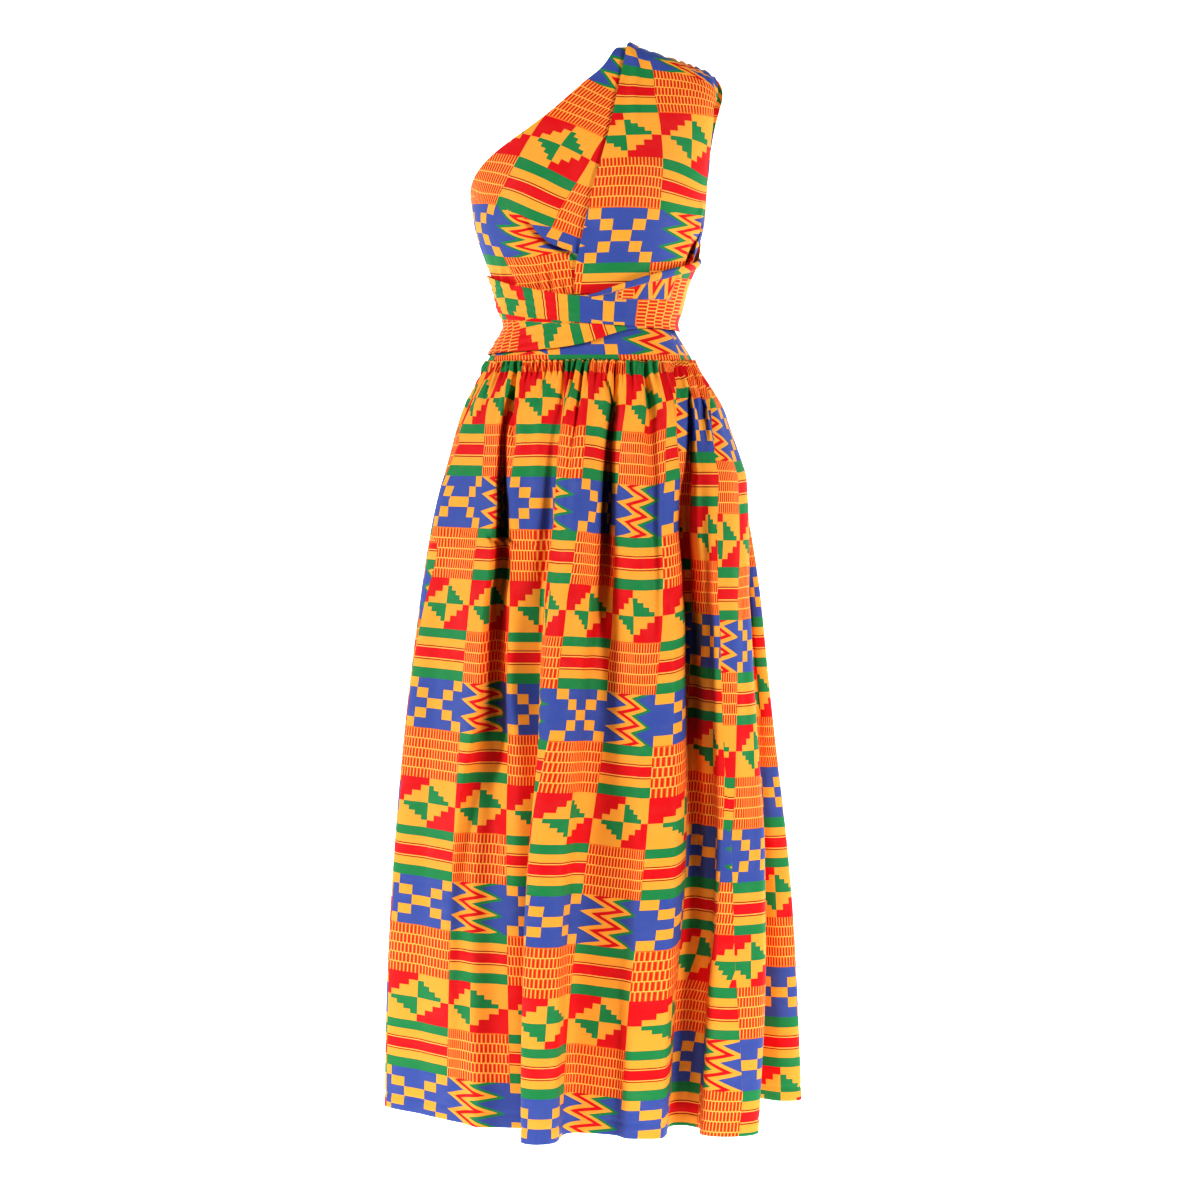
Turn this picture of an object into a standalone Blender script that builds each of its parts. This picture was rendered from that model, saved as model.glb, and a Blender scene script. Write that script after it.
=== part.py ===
"""One-shoulder wrap dress: a gathered floor-length skirt on a waistband, with two long straps.

The straps rise from the band, cross over the bust and the wearer's left shoulder, come down the back,
go once round the waist and are tied behind. The dress keeps its worn, hollow form.
Metres, +Z up, the front towards -Y. Turns are degrees about Z: 0 front, 90 the wearer's left, 180 back.
Heights are below the highest point of the shoulder.
"""

import bmesh
import bpy
import numpy as np

# Driving dimensions
WALL = 0.0014  # thickness of the cotton, with its finish
SEAM_GAP = 0.0003  # between pieces that are sewn edge to edge
BASE_CLEAR = 0.001  # from the figure to the innermost cloth
LAYER_PITCH = 0.0023  # from one layer of cloth to the next one over it

WAIST_SEAM_Z = -0.409
BAND_TOP_Z = -0.325
BAND_RADIUS = 0.115  # at the side seams
BAND_POINTS = (6, 29)  # up the band and along each of its halves
BAND_SEAM_TURNS = (-101.0, 79.0)  # the wearer's right and left side
SKIRT_START_TURN = -101.0  # at the waist, where the skirt's shares of its width are counted from
HEM_SWING = -20.0  # how far the hanging skirt is turned from its gathers, in degrees
SWING_LENGTH = 0.30  # the depth over which it turns
SWING_POWER = 1.5

SHOULDER_TOP_Z = -0.004
SHOULDER_SLOPE = 0.33
NECK_SIDE_X = 0.055  # where the shoulder starts to fall away from the neck
SHOULDER_PIVOT_Z = -0.12  # below this height the shoulder's top has no part in the form
CORNER_POWER = 8.0
SECTION_POWER = 2.3  # 2 would be an ellipse
SEAT_X = 0.09  # where the straps lie on the shoulder
FARTHEST = 0.4  # beyond any point of the figure, from inside it
HALVINGS = 40  # of that distance, to find the figure's edge

BUST_FULLNESS = 0.016
BUST_X = 0.078
BUST_Z = -0.215
BUST_WIDTH = 0.048
BUST_HEIGHT = 0.050

# Skirt panels: name, first and last edge as shares of the skirt's whole width, gathers
SKIRT_PANELS = (
    ("skirt_front", 0.118, 0.444, 18),
    ("skirt_back", 0.444, 1.118, 38),
)
POINTS_PER_GATHER = 3
GATHER_HEIGHT = 0.0034
GATHER_AT_SEAM = 0.35  # share of that height where it is sewn down
GATHER_RISE = 0.010  # depth at which a gather has opened
GATHER_FADE = 0.055  # depth over which it dies away
GATHER_FADE_POWER = 1.5
GATHER_UNLIKE = 0.2  # share of the height by which one gather differs from another
UNLIKE_WAVES = (23, 9)  # round the waist, of those differences
SKIRT_DEPTHS = (0, 0.012, 0.030, 0.060, 0.100, 0.155, 0.23, 0.34, 0.48, 0.64, 0.82, 0.984)

# General figure: height, half width, depth of front and of back
FIGURE = (
    (-0.440, 0.1460, 0.108, 0.104),
    (-0.409, 0.1330, 0.098, 0.094),
    (-0.385, 0.1190, 0.090, 0.085),
    (-0.364, 0.1075, 0.085, 0.080),
    (-0.343, 0.1130, 0.087, 0.081),
    (-0.310, 0.1210, 0.094, 0.086),
    (-0.280, 0.1340, 0.102, 0.091),
    (-0.247, 0.1460, 0.110, 0.096),
    (-0.200, 0.1540, 0.114, 0.101),
    (-0.140, 0.1600, 0.106, 0.102),
    (-0.080, 0.1690, 0.084, 0.090),
    (-0.040, 0.1765, 0.060, 0.068),
    (0.000, 0.1800, 0.042, 0.046),
)

# Skirt: depth below the waist seam, reach to the two sides, both seen from the SHOWN_TURN
SHOWN_TURN = 12.0
SKIRT_SIDES = (
    (0.000, -0.1355, 0.1355),
    (0.012, -0.1405, 0.1415),
    (0.031, -0.1510, 0.1550),
    (0.057, -0.1640, 0.1710),
    (0.092, -0.1775, 0.1835),
    (0.131, -0.1890, 0.1945),
    (0.189, -0.2030, 0.2080),
    (0.263, -0.2165, 0.2210),
    (0.321, -0.2250, 0.2285),
    (0.408, -0.2360, 0.2370),
    (0.549, -0.2510, 0.2525),
    (0.642, -0.2585, 0.2630),
    (0.741, -0.2650, 0.2715),
    (0.827, -0.2690, 0.2765),
    (0.907, -0.2710, 0.2800),
    (0.984, -0.2720, 0.2830),
)
# Front folds of the hanging skirt: depth, then how far each one leans to the wearer's left
FOLD_SHARES = (0.298, 0.444, 0.540)
FOLD_LEAN = (
    (0.000, 0.0000, 0.0000, 0.0000),
    (0.100, 0.0040, 0.0000, 0.0020),
    (0.200, 0.0160, 0.0120, 0.0100),
    (0.300, 0.0200, 0.0340, 0.0170),
    (0.400, 0.0150, 0.0350, 0.0175),
    (0.500, 0.0140, 0.0330, 0.0180),
    (0.600, 0.0070, 0.0300, 0.0180),
    (0.700, 0.0025, 0.0230, 0.0140),
    (0.800, 0.0010, 0.0130, 0.0110),
    (0.900, 0.0000, 0.0070, 0.0050),
    (0.984, 0.0000, 0.0020, 0.0000),
)
UPRIGHT_SHARES = (0.14, 0.60)  # to either side of the folds that lean
FRONT_FULLNESS = 0.85  # how much the front of the skirt comes out for each metre of half width
BACK_FULLNESS = 1.0
FOLD_START = 0.5  # power of the depth with which the hem's folds come in
HEM_STEPS = 24  # along the hem, between two rows of its table
RING_STEPS = 400  # round a ring, to find its reach to the sides

# Folds of the hem, from the wearer's right side round the front: turn, reach from the axis
HEM_FOLDS = (
    (-120, 0.240),
    (-109, 0.251),
    (-103, 0.280),
    (-94, 0.275),
    (-85, 0.247),
    (-75, 0.271),
    (-61, 0.228),
    (-50, 0.210),
    (-36, 0.215),
    (-28, 0.214),
    (-19, 0.174),
    (-6, 0.152),
    (-10, 0.228),
    (-5, 0.245),
    (1, 0.229),
    (2, 0.186),
    (9, 0.172),
    (21, 0.184),
    (25, 0.208),
    (35, 0.219),
    (40, 0.203),
    (48, 0.172),
    (56, 0.196),
    (50, 0.228),
    (54, 0.258),
    (62, 0.275),
    (71, 0.248),
    (88, 0.206),
    (111, 0.210),
    (105, 0.254),
    (107, 0.282),
    (118, 0.282),
    (129, 0.264),
    (136, 0.240),
    (145, 0.256),
    (154, 0.271),
    (163, 0.252),
    (168, 0.210),
    (179, 0.202),
    (186, 0.236),
    (198, 0.247),
    (206, 0.214),
    (217, 0.212),
    (222, 0.250),
    (231, 0.263),
)

# Straps, station by station. A station's edges each start inside the figure at x and z, and lie where a
# line from there leaves it, turned by turn and raised by rise.
# layer, edge a: x, z, turn, rise, edge b: x, z, turn, rise
STRAP_RIGHT_FRONT = (
    (0, -0.050, -0.3247, -95, 0, 0.012, -0.3247, 0, 0),
    (0, -0.050, -0.290, -95, 0, 0.016, -0.302, 0, 0),
    (0, -0.050, -0.256, -94, 0, 0.024, -0.275, 0, 0),
    (0, -0.052, -0.223, -90, 0, 0.036, -0.245, 0, 0),
    (0, -0.060, -0.199, -76, 0, 0.050, -0.214, 0, 0),
    (0, -0.078, -0.178, -50, 0, 0.064, -0.182, 0, 0),
    (0, -0.086, -0.147, -17, 0, 0.078, -0.150, 0, 0),
    (0, -0.061, -0.111, 0, 0, 0.090, -0.119, 0, 0),
    (0, -0.024, -0.081, 0, 0, 0.099, -0.092, 0, 0),
    (0, 0.010, -0.060, 0, 11, 0.106, -0.080, 0, 14),
    (0, 0.031, -0.068, 0, 38, 0.112, -0.080, 0, 38),
    (0, 0.044, -0.070, 0, 66, 0.116, -0.080, 0, 63),
    (0, 0.053, -0.070, 0, 89.8, 0.118, -0.080, 0, 89.8),
)
STRAP_LEFT_FRONT = (
    (1, 0.000, -0.3247, 0, 0, 0.050, -0.3247, 86, 0),
    (1, 0.003, -0.296, 0, 0, 0.050, -0.296, 84, 0),
    (1, 0.012, -0.264, 0, 0, 0.050, -0.262, 78, 0),
    (1, 0.022, -0.230, 0, 0, 0.055, -0.228, 73, 0),
    (1, 0.030, -0.196, 0, 0, 0.060, -0.194, 70, 0),
    (1, 0.038, -0.162, 0, 0, 0.070, -0.160, 69, 0),
    (1, 0.045, -0.129, 0, 0, 0.080, -0.128, 68, 0),
    (1, 0.050, -0.099, 0, 0, 0.095, -0.102, 68, 0),
    (1, 0.053, -0.077, 0, 8, 0.120, -0.086, 64, 6),
    (1, 0.056, -0.070, 0, 34, 0.145, -0.084, 56, 22),
    (1.2, 0.058, -0.070, 0, 61, 0.158, -0.084, 40, 52),
    (1.3, 0.060, -0.070, 0, 89.8, 0.166, -0.084, 30, 89.8),
)
STRAP_LEFT_BACK = (
    (1.3, 0.060, -0.070, 180, 89.8, 0.166, -0.084, 150, 89.8),
    (1.2, 0.060, -0.070, 180, 61, 0.158, -0.084, 140, 52),
    (1, 0.060, -0.070, 180, 34, 0.145, -0.084, 128, 22),
    (1, 0.060, -0.077, 180, 8, 0.120, -0.086, 124, 6),
    (1, 0.060, -0.102, 180, 0, 0.095, -0.102, 124, 0),
    (1, 0.058, -0.136, 180, 0, 0.080, -0.130, 124, 0),
    (1.2, 0.058, -0.176, 180, 0, 0.070, -0.165, 123, 0),
    (1.7, 0.060, -0.222, 176, 0, 0.060, -0.202, 118, 0),
    (2.3, 0.060, -0.270, 166, 0, 0.050, -0.235, 109, 0),
    (3, 0.050, -0.318, 150, 0, 0.050, -0.258, 103, 0),
    (3, 0.030, -0.352, 132, 0, 0.030, -0.270, 101, 0),
    (3, 0.008, -0.368, 114, 0, 0.008, -0.278, 99, 0),
    (3, 0.000, -0.371, 97.1, 0, 0.000, -0.283, 97.1, 0),
)
STRAP_RIGHT_BACK = (
    (0, 0.053, -0.070, -180, 89.8, 0.118, -0.080, -180, 89.8),
    (0, 0.053, -0.070, -180, 62, 0.118, -0.080, -180, 63),
    (0, 0.046, -0.070, -180, 36, 0.117, -0.080, -180, 38),
    (0, 0.034, -0.075, -180, 11, 0.113, -0.085, -180, 15),
    (0, 0.012, -0.095, -180, 0, 0.104, -0.115, -180, 0),
    (0, -0.016, -0.125, -180, 0, 0.090, -0.160, -180, 0),
    (0, -0.044, -0.158, -180, 0, 0.068, -0.205, -180, 0),
    (0.3, -0.068, -0.194, -177, 0, 0.040, -0.250, -180, 0),
    (0.9, -0.075, -0.235, -165, 0, 0.006, -0.295, -180, 0),
    (1.5, -0.060, -0.275, -145, 0, -0.030, -0.335, -172, 0),
    (1.9, -0.045, -0.310, -124, 0, -0.045, -0.370, -150, 0),
    (2, -0.020, -0.335, -107, 0, -0.025, -0.394, -122, 0),
    (2, 0.000, -0.345, -97.1, 0, 0.000, -0.402, -97.1, 0),
)
STRAP_STEPS = 2  # rows of points from one station to the next
STRAP_GATHERS = 4  # where a strap is sewn into the band
STRAP_GATHER_HEIGHT = 0.0015
STRAP_GATHER_STATIONS = 1.6  # stations above the band at which they die away
# Wraps round the waist, from the end of the back stretch to the knot: turn, top and bottom height
WRAP_UPPER = (
    (96.9, -0.283, -0.371),
    (62, -0.296, -0.368),
    (32, -0.312, -0.364),
    (6, -0.326, -0.361),
    (-36, -0.315, -0.354),
    (-78, -0.297, -0.345),
    (-112, -0.300, -0.350),
    (-146, -0.312, -0.358),
    (-178, -0.328, -0.368),
)
WRAP_LOWER = (
    (-96.9, -0.345, -0.402),
    (-62, -0.347, -0.399),
    (-28, -0.350, -0.396),
    (6, -0.352, -0.388),
    (38, -0.338, -0.371),
    (66, -0.330, -0.367),
    (98, -0.327, -0.366),
    (138, -0.328, -0.366),
    (178, -0.332, -0.368),
)
WRAP_UPPER_LAYER = 3
WRAP_LOWER_LAYER = 2
WRAP_ROWS = 45
WRAP_PLEATS = 3
WRAP_PLEAT_HEIGHT = 0.0016

KNOT_CLEAR = 0.0113  # from the figure, over both wraps and their pleats
KNOT_TURN = 180.0
KNOT_HALF_TURN = 19.0
KNOT_Z = -0.349
KNOT_HALF_HEIGHT = 0.032
KNOT_DEPTH = 0.026
KNOT_POINTS = 9  # across it and up it
END_LENGTH = 0.22
END_POINTS = (3, 8, 4)  # down the band, down the skirt and across an end
END_BAND_CLEAR = 0.006  # above the waist seam, where an end leaves the band
END_SKIRT_TOP = 0.004  # below the waist seam, where it meets the skirt
END_TURN = 11.0  # round the body, across a hanging end
END_APART_TURN = 0.6  # from the centre to each end
END_CLEAR = 0.0086  # from the skirt, over its gathers

PRINT_ORANGE = (0.84, 0.30, 0.06)


def smooth(at, knots, values):
    """Values at the places in at, on a smooth curve through a table's values at its knots."""
    at = np.asarray(at, float)
    knots = np.asarray(knots, float)
    values = np.asarray(values, float)
    slopes = np.gradient(values, knots, axis=0)
    low = np.clip(np.searchsorted(knots, at, side="right") - 1, 0, len(knots) - 2)
    step = (knots[low + 1] - knots[low])[..., None]
    part = (at[..., None] - knots[low][..., None]) / step
    rise = part * part * (3 - 2 * part)
    start = part * (1 - part) ** 2 * step * slopes[low]
    end = part * part * (part - 1) * step * slopes[low + 1]
    return values[low] * (1 - rise) + values[low + 1] * rise + start + end


def from_turn(turn, reach):
    """The x and y of a point at a turn and a distance from the vertical axis."""
    angle = np.radians(turn)
    return np.stack([reach * np.sin(angle), -reach * np.cos(angle)], axis=-1)


def section_reach(turn, half_width, front, back):
    """Distance from the axis to the edge of a rounded section."""
    angle = np.radians(turn)
    depth = np.where(np.cos(angle) > 0, front, back)
    across = (np.abs(np.sin(angle)) / half_width) ** SECTION_POWER
    deep = (np.abs(np.cos(angle)) / depth) ** SECTION_POWER
    return (across + deep) ** (-1 / SECTION_POWER)


# The general figure that the dress is worn on


def figure_ratio(points, clear):
    """Below 1 where a point lies inside the figure grown by clear, and above 1 outside it."""
    x, y, z = np.moveaxis(points, -1, 0)
    table = np.array(FIGURE)
    height = np.clip(z, table[0, 0], table[-1, 0])
    half_width, front, back = np.moveaxis(smooth(height, table[:, 0], table[:, 1:]), -1, 0)
    bust = ((np.abs(x) - BUST_X) / BUST_WIDTH) ** 2 + ((z - BUST_Z) / BUST_HEIGHT) ** 2
    front = front + BUST_FULLNESS * np.exp(-bust / 2)
    depth = np.where(y < 0, front, back) + clear
    across = (np.abs(x) / (half_width + clear)) ** SECTION_POWER
    side = (across + (np.abs(y) / depth) ** SECTION_POWER) ** (1 / SECTION_POWER)
    shoulder = SHOULDER_TOP_Z + clear - SHOULDER_SLOPE * np.maximum(x - NECK_SIDE_X, 0)
    top = np.maximum(z - SHOULDER_PIVOT_Z, 0) / (shoulder - SHOULDER_PIVOT_Z)
    return (side**CORNER_POWER + top**CORNER_POWER) ** (1 / CORNER_POWER)


def on_figure(starts, turn, rise, clear):
    """The points where lines from inside the figure, turned and raised so, reach a clearance from it."""
    level = np.cos(np.radians(rise))
    heading = np.concatenate([from_turn(turn, level), np.sin(np.radians(rise))[..., None]], axis=-1)
    near = np.zeros(np.shape(turn))
    far = np.full(np.shape(turn), FARTHEST)
    for _ in range(HALVINGS):
        middle = (near + far) / 2
        inside = figure_ratio(starts + heading * middle[..., None], clear) < 1
        near = np.where(inside, middle, near)
        far = np.where(inside, far, middle)
    return starts + heading * near[..., None]


def layer_clear(layer):
    return BASE_CLEAR + layer * LAYER_PITCH


# Building a wall of cloth


def cloth_material(name, colour):
    material = bpy.data.materials.new(name)
    material.use_nodes = True
    shader = material.node_tree.nodes["Principled BSDF"]
    shader.inputs["Base Color"].default_value = (*colour, 1)
    shader.inputs["Roughness"].default_value = 0.8
    shader.inputs["Metallic"].default_value = 0
    material.diffuse_color = (*colour, 1)
    return material


def add_wall(name, inner, outer, tint=1.0):
    """One closed wall of cloth between two grids of points with equal rows and columns."""
    rows, columns = inner.shape[:2]
    mesh = bmesh.new()
    faces = [[mesh.verts.new(point) for point in grid.reshape(-1, 3)] for grid in (inner, outer)]
    inside, outside = (np.array(side, object).reshape(rows, columns) for side in faces)
    for row in range(rows - 1):
        for column in range(columns - 1):
            corners = ((row, column), (row, column + 1), (row + 1, column + 1), (row + 1, column))
            mesh.faces.new([outside[corner] for corner in corners])
            mesh.faces.new([inside[corner] for corner in reversed(corners)])
    rim = [(0, column) for column in range(columns - 1)]
    rim += [(row, columns - 1) for row in range(rows - 1)]
    rim += [(rows - 1, column) for column in range(columns - 1, 0, -1)]
    rim += [(row, 0) for row in range(rows - 1, 0, -1)]
    for here, there in zip(rim, rim[1:] + rim[:1]):
        mesh.faces.new([outside[there], outside[here], inside[here], inside[there]])
    bmesh.ops.recalc_face_normals(mesh, faces=mesh.faces)
    data = bpy.data.meshes.new(name)
    mesh.to_mesh(data)
    mesh.free()
    data.shade_smooth()
    data.materials.append(cloth_material(name, [tint * channel for channel in PRINT_ORANGE]))
    piece = bpy.data.objects.new(name, data)
    bpy.context.scene.collection.objects.link(piece)
    piece.parent = bpy.data.objects["dress"]


# Skirt


def hem_points(share):
    """The hem's x and y at shares of its length, 0 and 1 at the wearer's right side."""
    corners = from_turn(*np.array(HEM_FOLDS, float).T)
    count = len(corners)
    around = np.concatenate([corners[-3:], corners, corners[:4]])
    at = np.linspace(0, count, count * HEM_STEPS + 1)
    curve = smooth(at, np.arange(-3, count + 4), around)
    length = np.concatenate([[0], np.cumsum(np.linalg.norm(np.diff(curve, axis=0), axis=1))])
    wanted = np.asarray(share) % 1 * length[-1]
    return np.stack([np.interp(wanted, length, axis) for axis in curve.T], axis=-1)


def skirt_swing(depth):
    return HEM_SWING * min(depth / SWING_LENGTH, 1) ** SWING_POWER


def skirt_sides(depth):
    table = np.array(SKIRT_SIDES)
    return smooth(np.array(depth), table[:, 0], table[:, 1:])


def skirt_ring(shares, depth):
    """The x and y of the skirt at one depth, before its sides are brought to their reach."""
    table = np.array(FIGURE)
    waist = smooth(np.array(WAIST_SEAM_Z), table[:, 0], table[:, 1:]) + BASE_CLEAR + WALL
    fuller = np.ptp(skirt_sides(depth)) / 2 - waist[0]
    turns = SKIRT_START_TURN + skirt_swing(depth) + 360 * shares
    front = waist[1] + FRONT_FULLNESS * fuller
    back = waist[2] + BACK_FULLNESS * fuller
    plain = from_turn(turns, section_reach(turns, waist[0] + fuller, front, back))
    folded = (depth / SKIRT_DEPTHS[-1]) ** FOLD_START
    grown = (waist[0] + fuller) / (np.ptp(skirt_sides(SKIRT_DEPTHS[-1])) / 2)
    return plain * (1 - folded) + hem_points(shares) * grown * folded


def turned(points, turn):
    """Points of the plan, turned about the axis."""
    angle = np.radians(turn)
    cosine, sine = np.cos(angle), np.sin(angle)
    return points @ np.array([[cosine, sine], [-sine, cosine]])


def fold_lean(shares, depth):
    """How far each share of the skirt leans to the wearer's left at one depth."""
    table = np.array(FOLD_LEAN)
    lean = smooth(np.array(depth), table[:, 0], table[:, 1:])
    first, last = UPRIGHT_SHARES
    values = np.concatenate([[0], lean, [0]])
    return smooth(np.clip(shares % 1, first, last), (first, *FOLD_SHARES, last), values[:, None])[:, 0]


def skirt_grid(shares, depths):
    """The skirt's points: a row for each depth below the waist seam, a column for each share."""
    rows = []
    for depth in depths:
        whole = turned(skirt_ring(np.linspace(0, 1, RING_STEPS), depth), -SHOWN_TURN)[:, 0]
        seen = turned(skirt_ring(shares, depth), -SHOWN_TURN)
        left, right = skirt_sides(depth)
        to_left, to_right = left / whole.min(), right / whole.max()
        seen[:, 0] *= np.where(seen[:, 0] < 0, to_left, to_right)
        seen[:, 1] *= (to_left + to_right) / 2
        seen[:, 0] += fold_lean(shares, depth)
        height = np.full(len(shares), WAIST_SEAM_Z - SEAM_GAP - depth)
        rows.append(np.column_stack([turned(seen, SHOWN_TURN), height]))
    return np.array(rows)


def outward(grid):
    """Unit normals, away from the axis, of a grid with heights falling down its rows."""
    normal = np.cross(np.gradient(grid, axis=0), np.gradient(grid, axis=1))
    return normal / np.linalg.norm(normal, axis=2, keepdims=True)


def gather_heights(shares, depths):
    """How far the gathers stand out at each depth and share: each one a little unlike the next."""
    depth = np.array(depths)[:, None]
    opened = GATHER_AT_SEAM + (1 - GATHER_AT_SEAM) * np.minimum(depth / GATHER_RISE, 1)
    fading = np.exp(-((depth / GATHER_FADE) ** GATHER_FADE_POWER))
    angle = 2 * np.pi * shares
    wave = np.cos(sum(panel[3] for panel in SKIRT_PANELS) * angle)
    change = np.sin(UNLIKE_WAVES[0] * angle) * np.cos(UNLIKE_WAVES[1] * angle)
    unlike = 1 - GATHER_UNLIKE + GATHER_UNLIKE * change
    return GATHER_HEIGHT * opened * fading * wave * unlike


def add_skirt():
    for name, first, last, gathers in SKIRT_PANELS:
        count = gathers * POINTS_PER_GATHER
        shares = first + (last - first) * np.arange(-1, count + 2) / count
        plain = skirt_grid(shares, SKIRT_DEPTHS)
        outer = plain + outward(plain) * gather_heights(shares, SKIRT_DEPTHS)[..., None]
        inner = outer - outward(outer) * WALL
        walls = [grid[:, 1:-1].copy() for grid in (inner, outer)]
        for wall in walls:
            for edge, beside in ((0, 1), (-1, -2)):
                along = wall[:, beside] - wall[:, edge]
                along /= np.linalg.norm(along, axis=1, keepdims=True)
                wall[:, edge] += along * SEAM_GAP / 2
        add_wall(name, *walls)


# Waistband


def band_wall(turns, heights, clear, lift=0.0):
    """Inner and outer points of a band round the figure, a column for each turn."""
    turn = np.broadcast_to(turns, heights.shape)
    starts = np.stack([np.zeros_like(heights), np.zeros_like(heights), heights], axis=-1)
    flat = np.zeros_like(heights)
    return [on_figure(starts, turn, flat, clear + out) for out in (lift, lift + WALL)]


def add_waistband():
    gap_turn = np.degrees(SEAM_GAP / BAND_RADIUS) / 2
    right, left = BAND_SEAM_TURNS
    rows, columns = BAND_POINTS
    for name, first, last in (
        ("waistband_front", right, left),
        ("waistband_back", left, right + 360),
    ):
        turns = np.linspace(first + gap_turn, last - gap_turn, columns)
        heights = np.linspace(WAIST_SEAM_Z, BAND_TOP_Z, rows)[:, None] * np.ones(columns)
        add_wall(name, *band_wall(turns, heights, layer_clear(0)), tint=0.9)


# Straps


def strap_wall(stations, columns, gathers=0):
    """Inner and outer points of a strap, from one station to the next and across."""
    stations = np.array(stations, float)
    count = len(stations) - 1
    along = np.linspace(0, count, count * STRAP_STEPS + 1)
    rows = smooth(along, np.arange(count + 1), stations)
    part = np.linspace(0, 1, columns + 1)
    lines = rows[:, None, 1:5] * (1 - part[:, None]) + rows[:, None, 5:] * part[:, None]
    x, z, turn, rise = np.moveaxis(lines, -1, 0)
    starts = np.stack([x, np.zeros_like(x), z], axis=-1)
    ridge = (1 - np.cos(2 * np.pi * gathers * part)) / 2 * (1 - part**6)
    fading = np.exp(-((along[:, None] / STRAP_GATHER_STATIONS) ** 2))
    clear = layer_clear(rows[:, :1]) + STRAP_GATHER_HEIGHT * ridge * fading
    return [on_figure(starts, turn, rise, clear + out) for out in (0, WALL)]


def add_straps():
    add_wall("strap_right_front", *strap_wall(STRAP_RIGHT_FRONT, 13, STRAP_GATHERS))
    add_wall("strap_left_front", *strap_wall(STRAP_LEFT_FRONT, 12, STRAP_GATHERS), tint=1.05)
    add_wall("strap_right_back", *strap_wall(STRAP_RIGHT_BACK, 10))
    add_wall("strap_left_back", *strap_wall(STRAP_LEFT_BACK, 10), tint=1.05)


def add_wraps():
    """The straps' last stretches, round the waist, each folded into a few long pleats."""
    for name, stations, layer, tint in (
        ("wrap_upper", WRAP_UPPER, WRAP_UPPER_LAYER, 1.05),
        ("wrap_lower", WRAP_LOWER, WRAP_LOWER_LAYER, 0.95),
    ):
        count = len(stations)
        rows = smooth(np.linspace(0, count - 1, WRAP_ROWS), np.arange(count), stations)
        part = np.linspace(0, 1, 2 * WRAP_PLEATS + 1)
        heights = rows[:, 1:2] * (1 - part) + rows[:, 2:] * part
        pleats = WRAP_PLEAT_HEIGHT * (1 - np.cos(2 * np.pi * WRAP_PLEATS * part)) / 2
        lift = pleats if layer == WRAP_UPPER_LAYER else 0.0
        add_wall(name, *band_wall(rows[:, :1], heights, layer_clear(layer), lift), tint=tint)


# The knot at the centre back and the straps' ends


def add_knot():
    """A rounded lump: a square of points drawn in to a disc and raised in the middle."""
    steps = np.linspace(-1, 1, KNOT_POINTS)
    across, up = np.meshgrid(steps, steps)
    round_across = across * np.sqrt(1 - up**2 / 2)
    round_up = up * np.sqrt(1 - across**2 / 2)
    raised = np.sqrt(np.maximum(1 - round_across**2 - round_up**2, 0))
    turns = KNOT_TURN + KNOT_HALF_TURN * round_across
    heights = KNOT_Z + KNOT_HALF_HEIGHT * round_up
    starts = np.stack([0 * heights, 0 * heights, heights], axis=-1)
    inner = on_figure(starts, turns, 0 * heights, KNOT_CLEAR)
    outer = on_figure(starts, turns, 0 * heights, KNOT_CLEAR + WALL + KNOT_DEPTH * raised)
    add_wall("tie_knot", inner, outer, tint=1.05)


def add_ends():
    """Both ends hang from the knot, over the band and the back of the skirt."""
    band_count, skirt_count, columns = END_POINTS
    depths = np.linspace(END_SKIRT_TOP, END_LENGTH, skirt_count)
    knot_bottom = KNOT_Z - KNOT_HALF_HEIGHT - SEAM_GAP
    heights = np.linspace(knot_bottom, WAIST_SEAM_Z + END_BAND_CLEAR, band_count)[:, None]
    apart = np.linspace(END_APART_TURN, END_APART_TURN + END_TURN, columns)
    for name, side in (("tie_end_left", -1), ("tie_end_right", 1)):
        turns = KNOT_TURN + side * apart[::side]
        skirt = []
        for depth in depths:
            shares = (turns - SKIRT_START_TURN - skirt_swing(depth)) / 360
            skirt.append(skirt_grid(shares, [depth])[0])
        skirt = np.array(skirt)
        band = band_wall(turns, heights * np.ones(len(turns)), END_CLEAR + BASE_CLEAR + WALL)
        hanging = [skirt + outward(skirt) * (END_CLEAR + out) for out in (0, WALL)]
        add_wall(name, *(np.concatenate(pair) for pair in zip(band, hanging)), tint=0.95)


def shoulder_seat():
    """Where the innermost strap lies on the wearer's left shoulder."""
    start = np.array([SEAT_X, 0, SHOULDER_PIVOT_Z])
    return on_figure(start, np.array(0.0), np.array(90.0), BASE_CLEAR)


def main():
    for item in list(bpy.data.objects):
        bpy.data.objects.remove(item)
    dress = bpy.data.objects.new("dress", None)
    bpy.context.scene.collection.objects.link(dress)
    seat = shoulder_seat()
    dress.location = -seat
    add_skirt()
    add_waistband()
    add_straps()
    add_wraps()
    add_knot()
    add_ends()


main()
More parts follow.
